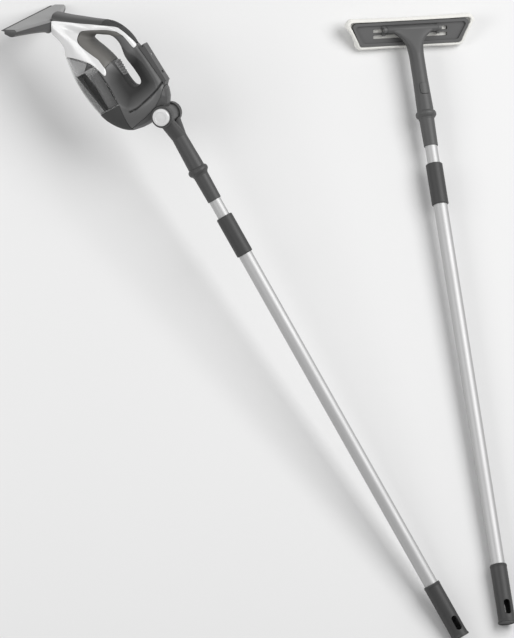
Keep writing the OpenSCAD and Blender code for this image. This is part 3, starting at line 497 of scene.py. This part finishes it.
# %% Outlines
white_outline = closed_curve(np.array([
    [-92, 243], [-53, 217], [-19, 194], [4, 177], [13, 158], [19, 135], [16, 131], [12, 133],
    [7, 157], [-1, 170], [-14, 181], [-32, 191], [-46, 198], [-57, 201], [-66, 194], [-67, 183],
    [-60, 166], [-49, 143], [-46, 124], [-49, 114], [-53, 113], [-58, 129], [-64, 142],
    [-75, 155], [-90, 168], [-104, 176], [-120, 180], [-122, 200], [-120, 236]], float), 5)
tank_outline = np.array([
    [-140, 182], [-104, 175.4], [-90, 167], [-75, 154], [-64, 141], [-58, 128], [-55.5, 108], [-55.5, 56],
    [-140, 56]], float)
foot_outline = np.array([[-140, 56], [-55.5, 56], [-61, 8], [-63, -20], [-140, -20]], float)
insert_outline = np.array([
    [-46, 124], [-22, 134], [-24, 150], [-12, 168], [7, 158], [0, 170.5], [-14, 181], [-32, 191], [-46, 198],
    [-57, 201], [-66, 194], [-67, 183], [-60, 166], [-49, 143]], float)
spine_outline = np.array([[-110, 300], [-92, 243.5], [-53, 217.5], [-19, 194.5], [-12, 199], [4, 230]], float)
rubber_outline = np.array([
    [-12, 199], [-19, 194.5], [4.5, 177.4], [13.6, 158.2], [19.6, 134.6], [40, 134.6], [40, 230],
    [4, 230]], float)
cradle_outline = np.array([
    [-63, -20], [-61, 8], [-28, 13], [-2, 21], [14, 32], [33, 52], [60, 40], [40, -40], [-40, -40]], float)
ridge_outline = np.array([
    [-49, 121], [-59, 96], [-58, 75], [-52, 41], [-45, 36], [3, 42], [26, 55], [26, 111], [19, 130]], float)
head_at, head_out, head_up = np.array([-98, 236.0]), np.array([-0.88, 0.475]), np.array([0.475, 0.88])
side_view = body_points[:, [0, 2]]
seam = 0.12
white, tank, foot, insert, spine, rubber, cradle = [outline_distance(o, side_view) for o in (
    white_outline, tank_outline, foot_outline, insert_outline, spine_outline, rubber_outline, cradle_outline)]
past_neck = (side_view - head_at) @ head_out
print("inside the white panel:", int((white < 0).sum()), "points")

# %% [markdown]
# ## Casing halves and skins
# The two casing halves meet on the middle plane, and everything that another piece covers is left out of
# them.

# %% Casing, panels and skins
def all_of(*fields):
    """A field below zero only where every one of them is."""
    return np.max(fields, axis=0) + seam


def suction_skin(name, field, finish, thick=2.4, rim=0.7, proud=0.0, body="suction_tool"):
    """A skin piece of the suction tool that stands for the CAD node of the same name."""
    points, faces = thick_skin(body_points, body_normals, body_faces, field, thick, rim, proud)
    side = points[:, [0, 2]]
    # Painted shade: the mask rises from the ridge down into the loop, and along the groove under it.
    hollow = np.clip(-outline_distance(ridge_outline, side) / 22, 0, 1) ** 0.8
    hollow = np.maximum(hollow, np.clip(1.2 - path_distance(groove_path, side) / groove_half, 0, 1))
    return new_piece(name + "_skin", lay_suction(points), faces, finish, [name], body, hollow=hollow)


covered = np.min([white, tank, foot, insert, spine, rubber, cradle], axis=0)
for name, half in (("near", body_points[:, 1]), ("far", -body_points[:, 1])):
    node = "housing_" + name
    suction_skin(node, all_of(-covered, past_neck, half), lit_and_shaded_side_finish)
    node = "panel_" + name
    others = np.min([tank, insert, spine, rubber], axis=0)
    panel = all_of(white, -others, past_neck, half)
    suction_skin(node, panel, white_finish, thick=1.3, proud=0.25)
suction_skin("grip_insert", all_of(insert), taupe_finish)
suction_skin("spine_cover", all_of(spine, past_neck), casing_finish, proud=0.3)
suction_skin("tank_foot", all_of(foot), rubber_finish)

# %% [markdown]
# ## Thumb button and grip rubber
# The thumb button is a rounded bar on top of the grip. Its edge is the distance to a short line along the
# spine, measured on the surface's own points, so the button keeps the grip's crown.

# %% Thumb button
button_turn = np.radians(47)
button_at = np.array([2, 184.5])
button_straight, button_flat, button_round, button_deep = 6.5, 1, 4.5, 8
offset = side_view - button_at
button_along = offset[:, 0] * np.cos(button_turn) - offset[:, 1] * np.sin(button_turn)
button_above = offset[:, 0] * np.sin(button_turn) + offset[:, 1] * np.cos(button_turn)
past_straight = np.maximum(np.abs(button_along) - button_straight, 0)
past_flat = np.maximum(np.abs(body_points[:, 1]) - button_flat, 0)
button = np.maximum(np.hypot(past_straight, past_flat) - button_round, -button_deep - button_above)
suction_skin("grip_rubber", all_of(rubber, 0.4 - button), rubber_finish, proud=0.6)
suction_skin("power_button", all_of(button), rubber_finish, thick=3.4, rim=1.3,
             proud=1.4, body="power_button")

# %% [markdown]
# ## Clear tank
# The tank is a smoked clear vessel. Its front is cut from the body's skin. Behind it a wall follows the
# outline through the tool, as a flat band carried along a path, so that light ends on something real
# inside.

# %% Clear tank
def loft_faces(rows, columns):
    """Quads of a grid that closes round its columns, with a flat face on both ends."""
    i, j = np.meshgrid(np.arange(rows - 1), np.arange(columns), indexing="ij")
    m = (j + 1) % columns
    quads = np.stack([i * columns + j, i * columns + m, (i + 1) * columns + m, (i + 1) * columns + j], 2)
    ends = [list(range(columns))[::-1], list(range((rows - 1) * columns, rows * columns))]
    return quads.reshape(-1, 4).tolist() + ends


def half_width_at(path):
    """Half width of the body near points of the side view."""
    near = np.linalg.norm(path[:, None] - side_view[None], axis=2) < 5
    return np.where(near, np.abs(body_points[:, 1])[None], 0).max(1)


tank_path = along_path(np.array([
    [-101, 172], [-90, 165], [-76.5, 152.5], [-66, 139.5], [-60, 127], [-57.5, 107], [-57.5, 58],
    [-96, 58]], float), 70)
ahead = unit(np.gradient(tank_path, axis=0))
beside = np.stack([ahead[:, 1], -ahead[:, 0]], axis=1)
half = half_width_at(tank_path) - 2.2
corners = [(tank_path + s * 0.7 * beside, side * half) for s, side in ((-1, -1), (1, -1), (1, 1), (-1, 1))]
wall = np.stack([np.stack([p[:, 0], y, p[:, 1]], 1) for p, y in corners], axis=1)
skin_points, skin_faces = thick_skin(body_points, body_normals, body_faces, all_of(tank), 2.0, 0.7)
wall_faces = [[v + len(skin_points) for v in face] for face in loft_faces(70, 4)]
tank_points = np.concatenate([skin_points, wall.reshape(-1, 3)])
# The veil grows denser towards the bottom of the tank.
lower_part = np.clip((142 - tank_points[:, 2]) / 18, 0, 1)
tank_faces = np.empty(len(skin_faces) + len(wall_faces), object)
tank_faces[:] = skin_faces.tolist() + wall_faces
new_piece("tank_skin", lay_suction(tank_points), tank_faces, tank_finish, ["tank"], "suction_tool",
          hollow=lower_part)

# %% [markdown]
# A dark rib of painted shade leans along the inside of the tank's front, from under the baffle down to the foot. It
# is a flat oval carried along a straight line.

# %% Tank rib of painted shade
angle = 2 * np.pi * np.arange(40) / 40
rib_line = along_path(np.array([[-91, 59], [-105, 135]], float), 24)
rib_half, rib_half_across, rib_square = 5.5, 14, 2.6
rib_x = rib_line[:, :1] + rib_half * bend(np.cos(angle), rib_square)
rib_y = np.broadcast_to(rib_half_across * bend(np.sin(angle), rib_square), rib_x.shape)
rib = np.stack([rib_x, rib_y, np.broadcast_to(rib_line[:, 1:], rib_x.shape)], axis=2)
new_piece("tank_shade_rib", lay_suction(rib.reshape(-1, 3)), np.array(loft_faces(24, 40), object), blade_finish,
          body="suction_tool")

# %% [markdown]
# ## Switch in the loop
# A ribbed bar on the inside of the loop lies under the fingertips. Six ribs swell out of its face, so a
# fingertip finds it without looking. It rides on the switch's own body and slides in when pressed.

# %% Switch
switch_x, switch_deep, switch_half, switch_low, switch_l = -33.5, 4.8, 12, 96, 32
switch_ribs, switch_rib_h, switch_square = 6, 1.8, 4


def switch_bar(rows, sides):
    """Superellipse sections along z; on the loop's side the half depth grows by |sin| over the six ribs."""
    share = np.linspace(0, 1, rows)[:, None]
    angle = 2 * np.pi * np.arange(sides) / sides
    taper = np.sqrt(np.clip(1 - (2 * share - 1) ** 12, 0.04, 1))
    face = bend(np.cos(angle), switch_square)
    ribs = switch_rib_h * np.abs(np.sin(switch_ribs * np.pi * share))
    x = switch_x + (switch_deep + np.where(face > 0, ribs, 0)) * taper * face
    y = switch_half * taper * bend(np.sin(angle), switch_square)
    return np.stack([x, y, np.broadcast_to(switch_low + switch_l * share, x.shape)], axis=2)


bar_grid = switch_bar(97, 40)
bar_faces = np.array(loft_faces(97, 40), object)
new_piece("loop_switch", lay_suction(bar_grid.reshape(-1, 3)), bar_faces, switch_finish, ["trigger_switch"],
          "trigger_switch")

# %% [markdown]
# ## Squeegee head
# The head spreads from the neck to the full width of the blade. Its section has a flat top and a belly that
# grows thinner towards the ends. Corner cutting, where each corner is replaced by points a quarter of the
# way along its two sides, rounds the section; the pale upper shell and the dark lower one are then cut from
# the same surface.

# %% Squeegee head
head_half, head_tip, head_top = 135.0, 55.5, 11.0


def cut_corners(rings, times):
    """Each corner becomes two points, at one and three quarters of every side."""
    for _ in range(times):
        following = np.roll(rings, -1, axis=1)
        rings = np.stack([rings * 0.75 + following * 0.25, rings * 0.25 + following * 0.75], axis=2)
        rings = rings.reshape(rings.shape[0], -1, rings.shape[-1])
    return rings


def head_rings(across):
    """Sections along the head: back edge, belly and lip from the share t of the way to the end."""
    t = np.clip((np.abs(across) - 24) / (head_half - 24), 0, 1)
    back = 0.3 + (head_tip - 27 - 0.3) * t
    low = head_top - 25 + 12 * np.sqrt(t)
    front = np.full_like(t, head_tip - 6.5)
    under = np.maximum(back + 12, front - 18)
    top = 0 * t + head_top
    corners = [(front, top), (back + 3, top), (back, top - 3), (back, low + 4), (back + 5, low),
               (back + 9, low), (under, top - 12), (front, top - 7.5)]
    flat = np.stack([np.stack(c, axis=1) for c in corners], axis=1)
    flat = cut_corners(along_sides(flat), 2)
    side = head_at + flat[..., :1] * head_out + flat[..., 1:] * head_up
    y = np.broadcast_to(across[:, None], side.shape[:2])
    return np.stack([side[..., 0], y, side[..., 1]], axis=2), flat


def along_sides(rings):
    """Two more points on every side, close to its corners, so that cutting keeps the corners tight."""
    following = np.roll(rings, -1, axis=1)
    gap = 2.2 / np.maximum(np.linalg.norm(following - rings, axis=2, keepdims=True), 6)
    after, before = rings + (following - rings) * gap, following + (rings - following) * gap
    return np.stack([rings, after, before], axis=2).reshape(rings.shape[0], -1, 2)


def tube_triangles(rows, columns):
    """Two triangles for each cell of a grid that closes round its columns and is open at both ends."""
    i, j = np.meshgrid(np.arange(rows - 1), np.arange(columns), indexing="ij")
    m = (j + 1) % columns
    a, b, c, d = [(r * columns + s).ravel() for r, s in ((i, j), (i + 1, j), (i + 1, m), (i, m))]
    return np.concatenate([np.stack([a, b, c], 1), np.stack([a, c, d], 1)])


def tube_normals(rings):
    """Outward directions of rings: across the difference along the tube and the one round it."""
    along = np.gradient(rings, axis=0)
    around = np.roll(rings, -1, 1) - np.roll(rings, 1, 1)
    return unit(np.cross(along, around) + 1e-12)


across = np.linspace(-head_half + 3, head_half - 3, 121)
head_grid, head_flat = head_rings(across)
head_normals = tube_normals(head_grid)
outwards = (head_normals * (head_grid - head_grid.mean(1, keepdims=True))).sum()
head_cells = tube_triangles(*head_grid.shape[:2])
if outwards < 0:
    head_normals = -head_normals
    head_cells = head_cells[:, ::-1]
shell_split = 6.0
above_part = (head_flat[..., 1] - shell_split).ravel()
head_points, head_normals = head_grid.reshape(-1, 3), head_normals.reshape(-1, 3)
for node, sign, finish in (("nozzle_upper", -1, head_finish), ("nozzle_lower", 1, casing_finish)):
    field = sign * above_part + seam
    points, faces = thick_skin(head_points, head_normals, head_cells, field, thick=1.8, rim=0.5)
    new_piece(node + "_shell", lay_suction(points), faces, finish, [node], "suction_tool", 32)

caps = []
for end in (-1, 1):
    ring = head_rings(end * (head_half - np.array([3, 0.8, 0.2, 0])))[0]
    middle = ring.mean(1, keepdims=True)
    caps.append(middle + (ring - middle) * np.array([1, 1, 0.97, 0.9])[:, None, None])
cap_faces = loft_faces(4, caps[0].shape[1])
print("head sections", head_grid.shape)

# %% [markdown]
# The two end caps close the head. They are short lofts of the last section, drawn in a little at the
# outside.

# %% End caps
cap_points = np.concatenate([cap.reshape(-1, 3) for cap in caps])
far_faces = [[v + caps[0].shape[0] * caps[0].shape[1] for v in face] for face in cap_faces]
cap_mesh = np.empty(2 * len(cap_faces), object)
cap_mesh[:] = cap_faces + [face[::-1] for face in far_faces]
new_piece("end_caps", lay_suction(cap_points), cap_mesh, casing_finish, ["nozzle_end_caps"], "suction_tool",
          50)

# %% [markdown]
# ## Fishtail neck of the wash tool
# The neck is a round tube that flattens into a wide fan at the pad's hinge. Its section is a superellipse:
# width grows with the third power of the way along, depth shrinks almost evenly. The push button's window
# is cut out of it in the same way as the skins were.

# %% Fishtail neck
neck_low, neck_r, fan_half, fan_h, yoke_l = 15.0, 13.5, 48.0, 50.0, 155.0


def neck_rings(z, sides):
    """Superellipses: half width r + (fan - r) t^3.2, half depth r + (5.2 - r) t^1.2, squarer as t grows."""
    t = np.clip(z / fan_h + 1, 0, 1)[:, None]
    r = np.clip(neck_r + (neck_low - neck_r) * (-93 - z) / 62, neck_r, neck_low)[:, None]
    angle = 2 * np.pi * np.arange(sides) / sides
    square = 2 + 2.5 * t
    x = (r + (fan_half - 0.4 - r) * t**3.2) * bend(np.cos(angle), square)
    y = (r + (5.2 - r) * t**1.2) * bend(np.sin(angle), square)
    return np.stack([x, y, np.broadcast_to(z[:, None], x.shape)], axis=2)


neck_z = np.concatenate([np.linspace(-yoke_l, -fan_h, 70), np.linspace(-fan_h, 0, 60)[1:]])
neck_grid = neck_rings(neck_z, 112)
neck_normals = tube_normals(neck_grid)
neck_cells = tube_triangles(*neck_grid.shape[:2])
if (neck_normals[..., :2] * neck_grid[..., :2]).sum() < 0:
    neck_normals, neck_cells = -neck_normals, neck_cells[:, ::-1]
flat_neck = neck_grid.reshape(-1, 3)
window_up, window_half, window_round = 40, np.array([7.9, 10.4]), 4.4
from_window = np.stack([flat_neck[:, 0], flat_neck[:, 2] + yoke_l - window_up], 1)
reach = np.abs(from_window) - window_half + window_round
window = np.linalg.norm(np.maximum(reach, 0), axis=1) + np.minimum(reach.max(1), 0) - window_round
window = np.where(flat_neck[:, 1] < 0, -window, -50)
neck_points, neck_faces = thick_skin(flat_neck, neck_normals.reshape(-1, 3), neck_cells, window, 3.2, 0.6)
angle = 2 * np.pi * np.arange(48) / 48
barrel_x = np.array([-48, -47.6, -47, 47, 47.6, 48])
barrel_r = np.array([5.0, 5.7, 6.0, 6.0, 5.7, 5.0])
barrel = np.stack([np.broadcast_to(barrel_x[:, None], (6, 48)), barrel_r[:, None] * np.cos(angle),
                   barrel_r[:, None] * np.sin(angle)], axis=2)
barrel_faces = [[v + len(neck_points) for v in face] for face in loft_faces(6, 48)]
yoke_mesh = np.empty(len(neck_faces) + len(barrel_faces), object)
yoke_mesh[:] = neck_faces.tolist() + barrel_faces
yoke_points = lay_wash(np.concatenate([neck_points, barrel.reshape(-1, 3)]))
new_piece("fishtail_neck", yoke_points, yoke_mesh, yoke_finish, ["neck_yoke"], "inner_pole_wash",
          50)

# %% [markdown]
# ## Microfibre pad
# The pad is a thick loop-pile cloth that wraps round the edge of the plate. It starts as a trapezoid ring
# carried along the pad's own section: out under the face, up the side, over the lip and back down to the
# plate. Cloth simulation with a little pressure then crowns the face and draws the sides in, and a fine
# noise raises the loops of the pile.

# %% Pad form
pad_front, pad_back, pad_half_depth, pad_low = 123.0, 105.0, 31.0, -20.0
pad_section = np.array([
    [29, 0], [24, 0.2], [12, 0.6], [6, 1.6], [2.2, 3.4], [0.6, 6], [0.2, 10], [0.7, 15.6],
    [2.8, 18.4], [5.6, 19.4], [8.2, 19.0], [9.3, 17.6], [9.5, 14.8], [9.6, 11.4], [12, 10.9], [29, 10.9]])
pad_section[:, 1] += pad_low


def pad_rings(section, corner, side):
    """Trapezoid rings with round corners, drawn in by a sine along each side, for each (inset, height)."""
    inset, height = section[:, :1], section[:, 1:]
    f, b, d = pad_front - inset, pad_back - inset, pad_half_depth - inset
    r = np.clip(14 - inset, 1.2, 14) * np.clip(d / 3, 0, 1)
    waist = 1.5 * np.clip(1 - inset / 8, 0, 1)
    centres = [(f - r, d - r), (r - f, d - r), (r - b, r - d), (b - r, r - d)]
    a = np.linspace(0, np.pi / 2, corner)[None]
    t = np.linspace(0, 1, side + 2)[None, 1:-1]
    rows = []
    for k in range(4):
        turned = a + k * np.pi / 2
        rows.append((centres[k][0] + r * np.cos(turned), centres[k][1] + r * np.sin(turned)))
        out = (k + 1) * np.pi / 2
        reach = r - waist * np.sin(np.pi * t)
        x, y = [centres[k][m] * (1 - t) + centres[(k + 1) % 4][m] * t for m in (0, 1)]
        rows.append((x + reach * np.cos(out), y + reach * np.sin(out)))
    x, y = [np.concatenate([row[m] for row in rows], axis=1) for m in (0, 1)]
    return np.stack([x, y, np.broadcast_to(height, x.shape)], axis=2)


pad_lean, hinge_at = 62, np.array([0, 8, 6])
lean = np.radians(180 - pad_lean)
lean_turn = np.array([[1, 0, 0], [0, np.cos(lean), -np.sin(lean)], [0, np.sin(lean), np.cos(lean)]])


def lay_pad(points):
    """Points of the pad's own frame, where the plate's top is z = 0, laid in the frame in metres."""
    return lay_wash((points - hinge_at) @ lean_turn.T)


pad_grid = pad_rings(along_path(pad_section, 30), 8, 24)
print("pad grid", pad_grid.shape)

# %% [markdown]
# The pile is noise on a lattice, the same at every run. The cloth itself is Blender's own, blown up a
# little from inside while the rim on the plate is held.

# %% Pad cloth
def pile_noise(points, size):
    """Value noise: a hashed number at each corner of a lattice of that size, blended with 3t^2 - 2t^3."""
    cell = np.floor(points / size)
    t = points / size - cell
    t = t * t * (3 - 2 * t)
    total = 0
    for corner in np.ndindex(2, 2, 2):
        at = cell + corner
        hashed = np.sin(at @ np.array([127.1, 311.7, 74.7])) * 43758.5453
        weight = np.prod(np.where(corner, t, 1 - t), axis=1)
        total = total + weight * (hashed - np.floor(hashed))
    return total


def swell(piece, pinned, cap):
    """Runs the cloth with pressure and no gravity, then keeps each point within cap of where it began."""
    mesh = piece.data
    start = np.zeros(len(mesh.vertices) * 3, np.float32)
    mesh.vertices.foreach_get("co", start)
    group = piece.vertex_groups.new(name="held")
    group.add(np.flatnonzero(pinned).tolist(), 1.0, "REPLACE")
    cloth = piece.modifiers.new("swell", "CLOTH")
    cloth.settings.vertex_group_mass = "held"
    cloth.settings.use_pressure = True
    cloth.settings.uniform_pressure_force = 4
    cloth.settings.mass = 0.25
    cloth.settings.effector_weights.gravity = 0
    cloth.settings.tension_stiffness = cloth.settings.compression_stiffness = 25
    cloth.point_cache.frame_end = 20
    for number in range(1, 21):
        scene.frame_set(number)
    shown = piece.evaluated_get(bpy.context.evaluated_depsgraph_get())
    end = np.zeros_like(start)
    shown.data.vertices.foreach_get("co", end)
    piece.modifiers.remove(cloth)
    scene.frame_set(1)
    move = (end - start).reshape(-1, 3)
    far = np.linalg.norm(move, axis=1, keepdims=True)
    move *= np.minimum(1, cap / np.maximum(far, 1e-9))
    mesh.vertices.foreach_set("co", (start.reshape(-1, 3) + move).ravel())
    print("cloth moved up to", round(float(np.linalg.norm(move, axis=1).max()) * 1000, 2), "mm")


def microfibre(name, colour):
    """Looped pile: tufts tint and shade the cream, and two sizes of loop lift the normal."""
    material, shader, place = new_finish(name, Sheen_Weight=0.35, Sheen_Roughness=0.6)
    loops, fuzz, stain = speckle(place, 420, 4, 0.65), speckle(place, 1500, 2), speckle(place, 18, 3)
    feed(shader, Base_Color=tone(place, colour, 0.78, 1.06, 0.75 * loops + 0.35 * stain))
    feed(shader, Roughness=0.86 + 0.12 * fuzz)
    feed(shader, Normal=bump(place, loops + 0.5 * fuzz, 0.7, 0.0009))
    return material


cloth_finish = microfibre("microfibre", grey(240, (1, 0.996, 0.975)))
rows, columns = pad_grid.shape[:2]
held = np.repeat(np.arange(rows) >= rows * 0.62, columns)
pad_faces = np.array(loft_faces(rows, columns), object)
pad_points = lay_pad(pad_grid.reshape(-1, 3))
pad = new_piece("microfibre_pad", pad_points, pad_faces, cloth_finish, ["cloth_pad"],
                crease=180)
swell(pad, held, 0.0022)

# %% [markdown]
# After the swelling, one subdivision rounds the cloth, and noise of two sizes pushes the outer face in and
# out by under a millimetre. That gives the soft, uneven edge of loop pile. The hidden side, against the
# plate, stays plain.

# %% Pad pile
bpy.context.view_layer.objects.active = pad
rounding = pad.modifiers.new("rounding", "SUBSURF")
rounding.levels = rounding.render_levels = 2
bpy.ops.object.modifier_apply(modifier="rounding")
points = np.zeros(len(pad.data.vertices) * 3, np.float32)
normals = np.zeros(len(pad.data.vertices) * 3, np.float32)
pad.data.vertices.foreach_get("co", points)
pad.data.vertex_normals.foreach_get("vector", normals)
points, normals = points.reshape(-1, 3).astype(float), normals.reshape(-1, 3)
local = ((points - wash_place) * 1000 @ wash_turn) @ lean_turn + hinge_at
plate_outline = np.array([[-113, 21.5], [113, 21.5], [95, -21.5], [-95, -21.5]], float)
inside = outline_distance(plate_outline, local[:, :2])
free = np.where((local[:, 2] > -14) & (inside < 1.5), 0, 1)
tufts = 0.9 * pile_noise(points * 1000, 3.1) + 0.6 * pile_noise(points * 1000 + 17, 1.5) - 0.75
points += normals * (free * tufts * 0.001)[:, None]
pad.data.vertices.foreach_set("co", points.ravel())
pad.data.update()
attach(pad, "pad")
print("pad", len(pad.data.polygons), "faces")

# %% [markdown]
# ## Finishes for the pieces that keep their CAD shape
# Tubes, sleeves, grips and pins are exact already. They only need a finish, so each node's slot takes one.

# %% Finishes for CAD nodes
by_node = {
    "fork_neck": neck_finish, "cradle": casing_finish, "handle_clip": casing_finish, "pin_cap": casing_finish,
    "lock_knob": white_finish, "trigger_switch": switch_finish, "wiper_blade": blade_finish,
    "motor": steel_finish, "fan": white_finish, "fan_housing": casing_finish, "suction_duct": casing_finish,
    "battery_pack": cell_finish, "circuit_board": board_finish, "tank_baffle": baffle_finish,
    "separator_tube": baffle_finish,
    "base_plate": plate_finish, "hook_strips": rubber_finish, "coupling_button_wash": yoke_finish,
    "coupling_button_suction": neck_finish, "ferrule_wash": yoke_finish, "ferrule_suction": neck_finish}
by_kind = {
    "outer_tube_suction": tube_suction_finish, "inner_tube_suction": tube_suction_finish,
    "outer_tube": tube_wash_finish, "inner_tube": tube_wash_finish, "lock_sleeve": sleeve_finish,
    "hand_grip": sleeve_finish, "end_cap": neck_finish, "collet": rubber_finish, "guide_bush": rubber_finish}
for name, piece in frame["nodes"].items():
    kinds = [finish for kind, finish in by_kind.items() if name.startswith(kind)]
    finish = by_node.get(name) or (kinds[0] if kinds else steel_finish)
    piece.data.materials.clear()
    piece.data.materials.append(finish)
print("finishes on", len(frame["nodes"]), "nodes")

# %% [markdown]
# ## Coil springs
# The knob and both push buttons stand on small coil springs, which are pressed together against their far
# ends. Each is drawn as a copy of its CAD solid with its corners merged.

# %% Springs
body_of = {node: body for body, nodes in frame["record"]["behaviour"]["bodies"].items() for node in nodes}
for node, press in (("knob_spring", "knob_press"), ("button_spring_suction", "coupling_press_suction"),
                    ("button_spring_wash", "coupling_press_wash")):
    mesh = frame["nodes"][node].data
    points, faces = np.zeros(len(mesh.vertices) * 3, np.float32), np.zeros(len(mesh.loops), np.int32)
    mesh.vertices.foreach_get("co", points)
    mesh.loops.foreach_get("vertex_index", faces)
    points, corner = np.unique(points.reshape(-1, 3).round(6), axis=0, return_inverse=True)
    faces = corner.ravel()[faces].reshape(-1, 3)
    coil = new_piece(node + "_coil", points, faces, steel_finish, [node], body_of[node], 60)
    along = points @ np.array(joints[press]["axis"])
    points[along.argmax()].tolist()
    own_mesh(coil)

# %% [markdown]
# ## Floor and light
# A pale floor, an even pale world and two wide soft lamps: a key from the upper right and a weaker fill
# from the left. Colours then come out close to how they are written.

# %% Floor and light
floor_mesh = bpy.data.meshes.new("floor")
floor_mesh.from_pydata([(-30, -30, 0), (30, -30, 0), (30, 30, 0), (-30, 30, 0)], [], [(0, 1, 2, 3)])
floor = bpy.data.objects.new("floor", floor_mesh)
scene.collection.objects.link(floor)
floor_finish, floor_shader, floor_place = new_finish("pale_floor", Roughness=0.9)
feed(floor_shader, Base_Color=tone(floor_place, grey(228), 0.99, 1.01, speckle(floor_place, 2)))
floor_mesh.materials.append(floor_finish)
floor.location.z = -0.0005
world = bpy.data.worlds.new("studio")
world.use_nodes = True
world.node_tree.nodes["Background"].inputs["Color"].default_value = (*grey(236), 1)
world.node_tree.nodes["Background"].inputs["Strength"].default_value = 0.5
scene.world = world


def soft_lamp(name, place, target, size, power):
    """A square area lamp that faces its target."""
    lamp = bpy.data.objects.new(name, bpy.data.lights.new(name, "AREA"))
    lamp.data.size, lamp.data.energy = size, power
    lamp.location = place
    lamp.rotation_euler = (Vector(target) - Vector(place)).to_track_quat("-Z", "Y").to_euler()
    scene.collection.objects.link(lamp)


soft_lamp("key", (1.7, 0.7, 2.9), (0, 0.1, 0), 2.4, 84)
soft_lamp("fill", (-2.4, 0.2, 1.9), (-0.2, 0.3, 0.1), 1.2, 26)
print("lamps ready")
